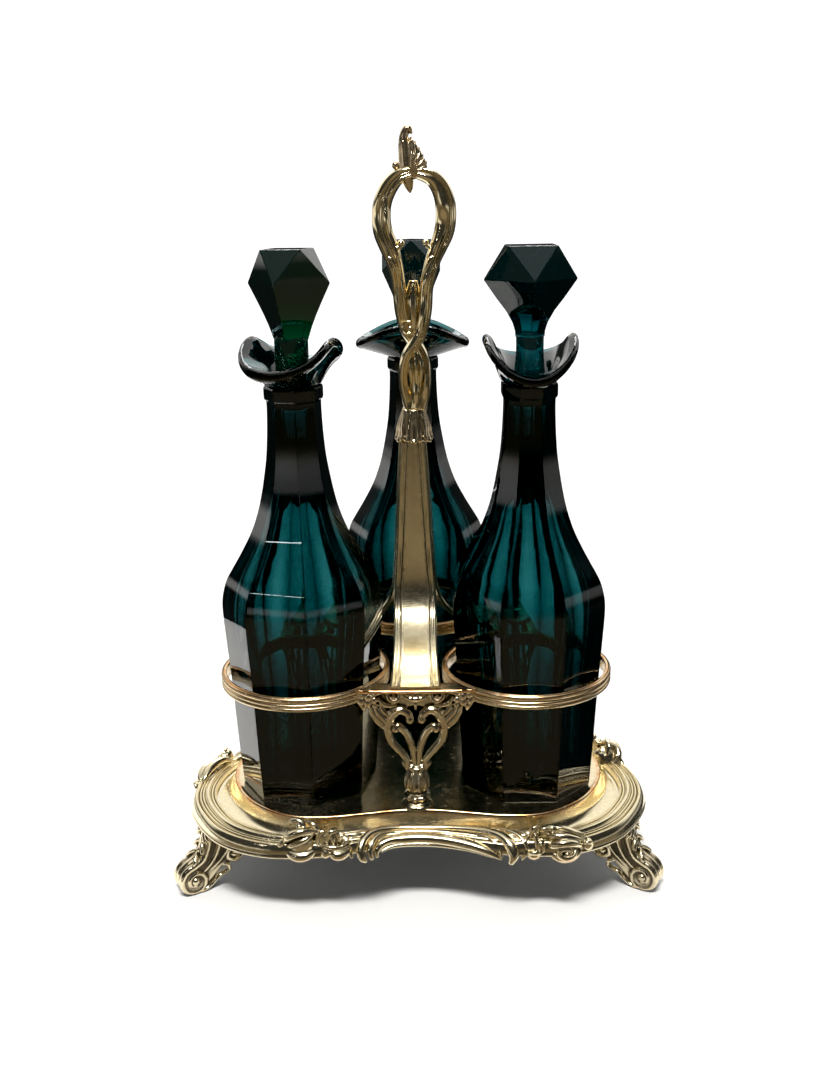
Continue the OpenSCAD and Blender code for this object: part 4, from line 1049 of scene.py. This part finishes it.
    # finial: bud with flutes, a hooked tip, a knob and a toothed leaf
    s = Shape()
    s.tube([[.6, 0, 385.4, .6, .6], [-.2, 0, 388.6, 1.9, 1.9], [-1.0, 0, 392.6, 3.0, 3.0], [-1.6, 0, 398, 3.5, 3.4], [-2.1, 0, 404, 3.1, 3.1], [-2.4, 0, 409, 2.9, 3.0], [-2.3, 0, 413.4, 2.6, 2.8], [-1.6, 0, 416.6, 2.3, 2.6],
            [-.2, -.2, 418.4, 1.9, 2.2], [1.0, -.4, 418.0, 1.4, 1.8], [1.7, -.4, 416.2, .9, 1.2]], n=20, per=6, up=(0, 1, 0))
    for dx, dy in ((-2.6, -1.6), (-.6, -2.9), (1.6, -2.2), (-2.4, 1.8), (.2, 2.9), (1.9, 1.9)):
        s.tube([[-.4 + dx * .5, dy * .5, 389.6, .6, .6], [-1.4 + dx * .95, dy * .95, 396, .9, .9], [-2.0 + dx * .95, dy * .95, 404, .8, .8], [-2.2 + dx * .8, dy * .85, 411.6, .7, .7], [-1.0 + dx * .5, dy * .6, 416.8, .5, .5]], n=8, per=5)
    s.ball([-7.0, -.6, 399.4], (1.9, 1.8, 2.2))
    s.tube([[-6.6, -.4, 398.6, .9, .9], [-5.0, -.4, 395.4, 1.0, 1.0], [-2.8, 0, 393.2, 1.2, 1.2]], n=8, per=4)
    # hanging point under the loop's top
    s.tube([[.6, 0, 391, 2.2, 2.2], [.9, 0, 388, 1.6, 1.6], [.8, 0, 385.6, .7, .7]], n=10, per=4)
    # the leaf: a thick toothed fan with raised veins
    edge = [(-1.4, 392), (-2.4, 398), (-2.4, 405), (-1.0, 412), (1.8, 414.6), (3.0, 412.2), (4.2, 412.0), (4.6, 409.4), (6.4, 409.0), (6.6, 406.2), (8.4, 405.4), (8.4, 402.6), (10.4, 401.4), (10.0, 398.6), (11.6, 396.4), (8, 393.2), (4, 392)]
    mid = (3.6, 399.4)
    rows = []
    for y, g in ((1.9, .6), (1.5, .86), (0, 1.0), (-1.7, .86), (-2.4, .6)):
        rows.append([[mid[0] + (x - mid[0]) * g, y - .25, mid[1] + (z - mid[1]) * g] for x, z in edge])
    s.rows(rows)
    for tx, tz in ((2.2, 412.2), (4.4, 409.4), (6.6, 406.2), (8.6, 402.4), (9.8, 398.8)):
        s.tube([[1.6, -2.0, 394.6, .9, .8], [1.6 * .4 + tx * .6, -2.5, 394.6 * .4 + tz * .6, 1.2, .9], [tx, -1.2, tz, .7, .6]], n=8, per=4)
    ob = bare("bud_finial", s)
    cast(ob, voxel=0.3, soft=1)
    ob.data.attributes.new("cu", "FLOAT", "POINT")
    piece("bud_finial", ob, "stand", ["handle_finial"], M_FINIAL, cav=20)


# ------------------------------------------------------------------ glass

GLASS_SIDE = [[52, 0.846], [53.2, 0.866], [77, 0.9], [97, 0.921], [119, 0.946], [141, 0.978], [156, 0.998], [164, 1], [170, 0.982], [177.5, 0.932],
              [184, 0.852], [191, 0.758], [198, 0.671], [205, 0.592], [212, 0.531], [219, 0.482], [226, 0.445], [233, 0.414], [246, 0.366], [259, 0.34], [272, 0.327], [278, 0.327]]
HOLLOW = [[287, 9.9], [276, 9.5], [268, 8.2], [258, 7.6], [246, 9], [233, 12.6], [219, 16.8], [205, 21.7], [191, 28.8], [180, 35.4], [170, 38.7], [160, 39.3],
          [141, 37.8], [119, 35], [97, 33], [70, 32], [60.5, 30.5], [58.5, 27]]


def decanter(nm, at, turn, spout, material):
    c = 73.7 * V3(math.cos(math.radians(at)), math.sin(math.radians(at)), 0)
    per_side = 16
    # sample angles on the octagon so that each corner has a small flat
    n = 8 * per_side
    shares = np.concatenate([[0, .012, .03], np.linspace(.06, .94, per_side - 5), [.97, .988]])
    ang, cut = [], []
    for k in range(8):
        for t in shares:
            # t runs along the side from corner k to corner k+1
            p0, p1 = np.array([math.cos(math.radians(45 * k)), math.sin(math.radians(45 * k))]), np.array([math.cos(math.radians(45 * k + 45)), math.sin(math.radians(45 * k + 45))])
            p = p0 + (p1 - p0) * t
            ang.append(math.degrees(math.atan2(p[1], p[0])) % 360)
            cut.append(1 - .010 * max(0, 1 - min(t, 1 - t) / .012))
    ang, cut = np.array(ang), np.array(cut)
    m = np.mod(ang, 45)
    octo = math.cos(math.radians(22.5)) / np.cos(np.radians(m - 22.5)) * cut
    A = np.radians(ang + turn)
    lr = 30.6 + 5.2 * np.cos(2 * (A - math.radians(spout)))
    lz = 303 - 7.2 * np.cos(2 * (A - math.radians(spout)))
    n = len(A)
    # each lip was shaped by hand: one spout is deeper, one pair of wings flatter
    off = np.abs(np.mod(A - math.radians(spout) + math.pi, math.tau) - math.pi)
    if nm == "right":
        lz = lz - 4.6 * np.exp(-(off / .52) ** 2)
    if nm == "back":
        lz = lz - 3.4 * np.exp(-((off - math.pi / 2) / .6) ** 2)
    er = 2.4 + .5 * np.abs(np.cos(A - math.radians(spout))) ** 6

    def ring(r, z):
        r = np.broadcast_to(r, (n,))
        return np.stack([c[0] + r * np.cos(A), c[1] + r * np.sin(A), np.broadcast_to(z, (n,))], 1)

    rows = [ring(6, 53.4), ring(20, 52.6), ring(28, 52.05)]
    side = curve(GLASS_SIDE[2:], 4)
    prof = [[52, .846], [52.35, .858], [53.2, .866], [60, .8755]] + side.tolist()
    for z, sh in prof:
        rows.append(ring(sh * 45.6 * octo, z))
    # neck ring, cut with the same eight sides
    rows += [ring(15.2 * octo, 278.5), ring(15.9 * octo, 279.2), ring(16.2 * octo, 280.4), ring(16.2 * octo, 285.2), ring(15.9 * octo, 286.2), ring(15.2 * octo, 287)]
    # under the flange and round its edge to the top
    und = [(.02, .0), (.10, .06), (.24, .2), (.42, .40), (.6, .6), (.78, .79), (.92, .93)]
    for f, g in und:
        rows.append(ring(15.2 + (lr - 2.2 - 15.2) * f, 287.4 + (lz - 3.4 - 287.4) * g))
    for q in np.linspace(-70, 90, 9):
        g = math.radians(q)
        rows.append(ring(lr - er + er * math.cos(g), lz - .6 + (er + .2) * math.sin(g)))
    for f, g in ((.9, .93), (.72, .76), (.52, .56), (.34, .36), (.2, .2), (.1, .08), (.03, .0)):
        rows.append(ring(11.2 + (lr - 4.2 - 11.2) * f, 290.4 + (lz + 1.6 - 290.4) * g))
    rows += [ring(10.4, 289.6), ring(10.0, 288.4)]
    hollow = curve(HOLLOW, 5)
    for z, r in hollow:
        rows.append(ring(r, z))
    rows += [ring(20, 57.6), ring(9, 57.2)]
    s = Shape()
    s.rows(rows)
    return piece("decanter_glass_" + nm, s, nm + "_decanter", ["decanter_" + nm], material, sharp=14, cav=0)


def stopper(nm, at, turn, material, table_r=18.0, girdle_r=25.0, taper=((331, 19.6, 0), (324, 15.6, 0), (318, 12.6, .12), (313.5, 10.7, .35), (310.4, 9.7, .75))):
    c = 73.7 * V3(math.cos(math.radians(at)), math.sin(math.radians(at)), 0)
    s = Shape()

    def sq(r, rot, z, cut=.05, k=0.0):
        """A square with small cut corners, 16 points; k rounds it."""
        out = []
        for j in range(4):
            a = math.radians(rot + 90 * j)
            b = math.radians(rot + 90 * (j + 1))
            p, q = np.array([math.cos(a), math.sin(a)]) * r, np.array([math.cos(b), math.sin(b)]) * r
            for t in (cut, .33, .67, 1 - cut):
                v = p + (q - p) * t
                v = v * ((1 - k) + k * r * .78 / np.linalg.norm(v))
                out.append([v[0], v[1], z])
        return np.array(out)

    t0 = turn
    # crown: square table, girdle turned by 45 degrees, eight triangles between
    table = np.array([[table_r * math.cos(math.radians(t0 + 90 * j)), table_r * math.sin(math.radians(t0 + 90 * j)), 358] for j in range(4)])
    girdle = np.array([[girdle_r * math.cos(math.radians(t0 + 45 + 90 * j)), girdle_r * math.sin(math.radians(t0 + 45 + 90 * j)), 340.4] for j in range(4)])
    bm = bmesh.new()
    vt = [bm.verts.new(p) for p in table]
    vg = [bm.verts.new(p) for p in girdle]
    bm.faces.new(vt)
    for j in range(4):
        bm.faces.new((vt[j], vg[j], vt[(j + 1) % 4]))
        bm.faces.new((vt[(j + 1) % 4], vg[j], vg[(j + 1) % 4]))
    # pavilion: flat sides sweeping in to the neck, edges under the girdle's corners
    prev = vg
    for z, r, k in taper:
        row = []
        for j in range(4):
            a = math.radians(t0 + 45 + 90 * j)
            row.append(bm.verts.new((r * math.cos(a), r * math.sin(a), z)))
        for j in range(4):
            bm.faces.new((prev[j], row[j], row[(j + 1) % 4], prev[(j + 1) % 4]))
        prev = row
    bm.faces.new(prev[::-1])
    bmesh.ops.recalc_face_normals(bm, faces=bm.faces)
    bmesh.ops.bevel(bm, geom=[e for e in bm.edges if e.calc_face_angle(0) > .3] , offset=.28, segments=1, affect="EDGES", profile=.7)
    me = bpy.data.meshes.new("cut")
    for v in bm.verts:
        v.co = (v.co + Vector(c)) * MM
    # the ground plug below, a little sunk into the cut part
    bm2 = bm
    n = 48
    q = np.arange(n) * math.tau / n
    thin = taper[-1][1] - .6
    rr = [(312.5, thin * .6), (311.8, thin - .3), (310.8, thin), (303, thin), (294, max(thin, 8.2)), (289, 8.8), (276, 8.5), (274.6, 8.2), (274, 7.4), (274.0, 2)]
    rings = []
    for z, r in rr:
        rings.append([bm2.verts.new(((c[0] + r * math.cos(x)) * MM, (c[1] + r * math.sin(x)) * MM, z * MM)) for x in q])
    for a_, b_ in zip(rings, rings[1:]):
        for j in range(n):
            bm2.faces.new((a_[j], b_[j], b_[(j + 1) % n], a_[(j + 1) % n]))
    bm2.faces.new(rings[0][::-1])
    bm2.faces.new(rings[-1])
    bmesh.ops.recalc_face_normals(bm2, faces=bm2.faces)
    bm2.to_mesh(me)
    bm2.free()
    ob = bpy.data.objects.new("stopper_cut_" + nm, me)
    bpy.context.scene.collection.objects.link(ob)
    finish_mesh(ob, sharp=12, cav=0)
    me.materials.append(material)
    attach(ob, nm + "_stopper")
    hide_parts("stopper_" + nm)
    return ob


build_tray()
build_rim()
build_clusters()
build_feet()
build_rings()
build_brackets()
build_caps()
build_arms()
build_handle()
decanter("left", 210, 8, 255, M_TEAL)
decanter("right", 330, 22.5, 270, M_TEAL)
decanter("back", 90, 0, 0, M_TEAL_B)
stopper("left", 210, -58.7, M_GREEN_ST, 15.6, 23.2, ((331, 18.4, 0), (324, 15.0, 0), (318, 12.4, .12), (313.5, 10.8, .35), (310.4, 9.7, .75)))
stopper("right", 330, 45, M_TEAL_ST, 18.2, 25.0, ((331, 18.4, 0), (324, 13.0, 0), (318, 9.6, 0), (313.5, 8.2, 0), (310.4, 8.0, 0)))
stopper("back", 90, 0, M_TEAL_ST)

for node, mat in (("column_plug", M_PLAIN), ("handle_stud", M_STEEL), ("bracket_screws", M_STEEL), ("bracket_washers", M_STEEL)):
    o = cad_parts[node]
    o.data.materials.clear()
    o.data.materials.append(mat)

# ------------------------------------------------------------------ camera, floor, light

sc = bpy.context.scene
az, dist, cz, pitch, roll, yo = math.radians(0.6441), 654.80, 381.42, math.radians(16.5209), math.radians(-0.964), math.radians(-0.1231)
C = V3(math.sin(az) * dist, -math.cos(az) * dist, cz)
fwd0, right0, up0 = V3(-math.sin(az), math.cos(az), 0), V3(math.cos(az), math.sin(az), 0), V3(0, 0, 1)
fwd1, right1 = fwd0 * math.cos(yo) + right0 * math.sin(yo), right0 * math.cos(yo) - fwd0 * math.sin(yo)
fwd, up_ = fwd1 * math.cos(pitch) - up0 * math.sin(pitch), up0 * math.cos(pitch) + fwd1 * math.sin(pitch)
Rr, Uu = right1 * math.cos(roll) + up_ * math.sin(roll), up_ * math.cos(roll) - right1 * math.sin(roll)
cd = bpy.data.cameras.new("camera")
cd.sensor_width, cd.sensor_fit, cd.lens = 36, "AUTO", 1146.873 * 36 / 1080
cd.clip_start, cd.clip_end = 0.01, 60
cam = bpy.data.objects.new("camera", cd)
sc.collection.objects.link(cam)
cam.matrix_world = Matrix(((Rr[0], Uu[0], -fwd[0], C[0] * MM), (Rr[1], Uu[1], -fwd[1], C[1] * MM), (Rr[2], Uu[2], -fwd[2], C[2] * MM), (0, 0, 0, 1)))
sc.camera = cam

fm = bpy.data.meshes.new("floor")
fm.from_pydata([(-0.25, -0.128, 0), (0.185, -0.128, 0), (0.30, 1.06, 0), (-0.42, 1.06, 0), (-0.40, 0.05, 0)], [], [(0, 1, 2, 3, 4)])
floor = bpy.data.objects.new("floor", fm)
sc.collection.objects.link(floor)
k = Nodes("floor_paper")
d = k.node("BsdfDiffuse")
k.link(k.mix(k.noise(3, 3), (0.92, 0.92, 0.91), (0.95, 0.95, 0.94)), d.inputs["Color"])
k.link(d.outputs[0], k.out.inputs["Surface"])
fm.materials.append(k.m)

w = bpy.data.worlds.new("studio")
sc.world = w
w.use_nodes = True
nt = w.node_tree
nt.nodes.clear()
wo = nt.nodes.new("ShaderNodeOutputWorld")


def wn(kind, **kw):
    n = nt.nodes.new("ShaderNode" + kind)
    for a_, b_ in kw.items():
        setattr(n, a_, b_)
    return n


def wput(s, v):
    nt.links.new(v, s) if isinstance(v, bpy.types.NodeSocket) else setattr(s, "default_value", v)


def wmath(op, a_, b_=0.0, clamp=False):
    n = wn("Math", operation=op, use_clamp=clamp)
    wput(n.inputs[0], a_)
    wput(n.inputs[1], b_)
    return n.outputs[0]


def wspan(v, a_, b_, lo=0.0, hi=1.0):
    n = wn("MapRange", interpolation_type="SMOOTHSTEP")
    wput(n.inputs["Value"], v)
    for kk, x in (("From Min", a_), ("From Max", b_), ("To Min", lo), ("To Max", hi)):
        n.inputs[kk].default_value = x
    return n.outputs["Result"]


tc = wn("TexCoord")
sep = wn("SeparateXYZ")
nt.links.new(tc.outputs["Generated"], sep.inputs[0])
X, Y, Z = sep.outputs
# a bright wall behind, seen only above the sheet's edge, and a bright ceiling; the rest of the room is dim, and brown below the table's edge in front
overhead = wspan(Z, 0.78, 0.95, 0.0, 0.60)
near_wall = wmath("MULTIPLY", wspan(Y, 0.66, 0.88, 0.0, 1.1), wspan(Z, 0.05, 0.15, 0.0, 1.0))
high_wall = wmath("MULTIPLY", wspan(Y, 0.10, 0.45, 0.0, 1.1), wspan(Z, 0.16, 0.34, 0.0, 1.0))
sweep = wmath("MAXIMUM", near_wall, high_wall)
left = wmath("MULTIPLY", wspan(X, -0.35, -0.65, 0.0, 0.95), wmath("MULTIPLY", wspan(Z, -0.09, -0.03, 0.0, 1.0), wspan(Z, 0.11, 0.05, 0.0, 1.0)))
right = wmath("MULTIPLY", wspan(X, 0.50, 0.80, 0.0, 0.55), wmath("MULTIPLY", wspan(Z, -0.09, -0.03, 0.0, 1.0), wspan(Z, 0.11, 0.05, 0.0, 1.0)))
room = wmath("ADD", wmath("ADD", wmath("ADD", sweep, overhead), wmath("ADD", left, right)), 0.03)
ahead = wspan(Y, 0.20, -0.20, 0.0, 1.0)
low = wmath("MULTIPLY", wspan(Z, 0.02, -0.10, 0.0, 1.0), ahead)
bg = wn("Background")
cmix = wn("Mix", data_type="RGBA")
nt.links.new(low, cmix.inputs[0])
wput(cmix.inputs[6], (1.0, 0.985, 0.95, 1))
wput(cmix.inputs[7], (1.0, 0.80, 0.52, 1))
nt.links.new(cmix.outputs[2], bg.inputs["Color"])
level = wmath("ADD", wmath("MULTIPLY", room, wmath("SUBTRACT", 1.0, low)), wmath("MULTIPLY", low, wspan(Z, -0.165, -0.205, 0.11, 0.25)))
nt.links.new(level, bg.inputs["Strength"])
white = wn("Background")
white.inputs["Color"].default_value = (1, 1, 1, 1)
white.inputs["Strength"].default_value = 1.2
lp = wn("LightPath")
mx = wn("MixShader")
nt.links.new(lp.outputs["Is Camera Ray"], mx.inputs[0])
nt.links.new(bg.outputs[0], mx.inputs[1])
nt.links.new(white.outputs[0], mx.inputs[2])
nt.links.new(mx.outputs[0], wo.inputs["Surface"])


def area(name, loc, target, size, power, colour=(1, 1, 1), shape="RECTANGLE", size_y=None):
    ld = bpy.data.lights.new(name, "AREA")
    ld.shape, ld.size, ld.energy, ld.color = shape, size, power, colour
    if size_y:
        ld.size_y = size_y
    lo = bpy.data.objects.new(name, ld)
    lo.location = loc
    lo.rotation_mode = "QUATERNION"
    lo.rotation_quaternion = (Vector(target) - Vector(loc)).to_track_quat("-Z", "Y")
    sc.collection.objects.link(lo)
    return lo


area("key_front", (-0.05, -0.66, 1.30), (0, 0, 0.1), 0.55, 20.5, (1, .98, .95), size_y=.18)
area("lamp", (-0.585, -0.72, 0.62), (-.06, 0, 0.2), .13, 0.10, (1, 1, 1), size_y=.014)
area("back_top", (0.0, 1.0, 1.5), (0, 0.85, 0), 1.0, 13, (1, 1, 1), size_y=.7)
low_fill = area("low_fill", (0.0, -0.66, 0.25), (0, -0.05, 0), .5, 0.5, (1, .98, .94), size_y=.06)
low_fill.visible_glossy = False
low_fill.visible_transmission = False

sc.view_settings.view_transform = "Standard"
sc.view_settings.look = "None"
sc.view_settings.use_curve_mapping = True
sc.view_settings.curve_mapping.black_level = (0.003, 0.002, 0.002)
sc.view_settings.curve_mapping.update()
sc.cycles.use_denoising = True
sc.cycles.max_bounces = 18
sc.cycles.transmission_bounces = 16
sc.cycles.glossy_bounces = 6
sc.cycles.diffuse_bounces = 3
sc.cycles.caustics_refractive = False
sc.cycles.caustics_reflective = False
sc.cycles.sample_clamp_indirect = 4.0
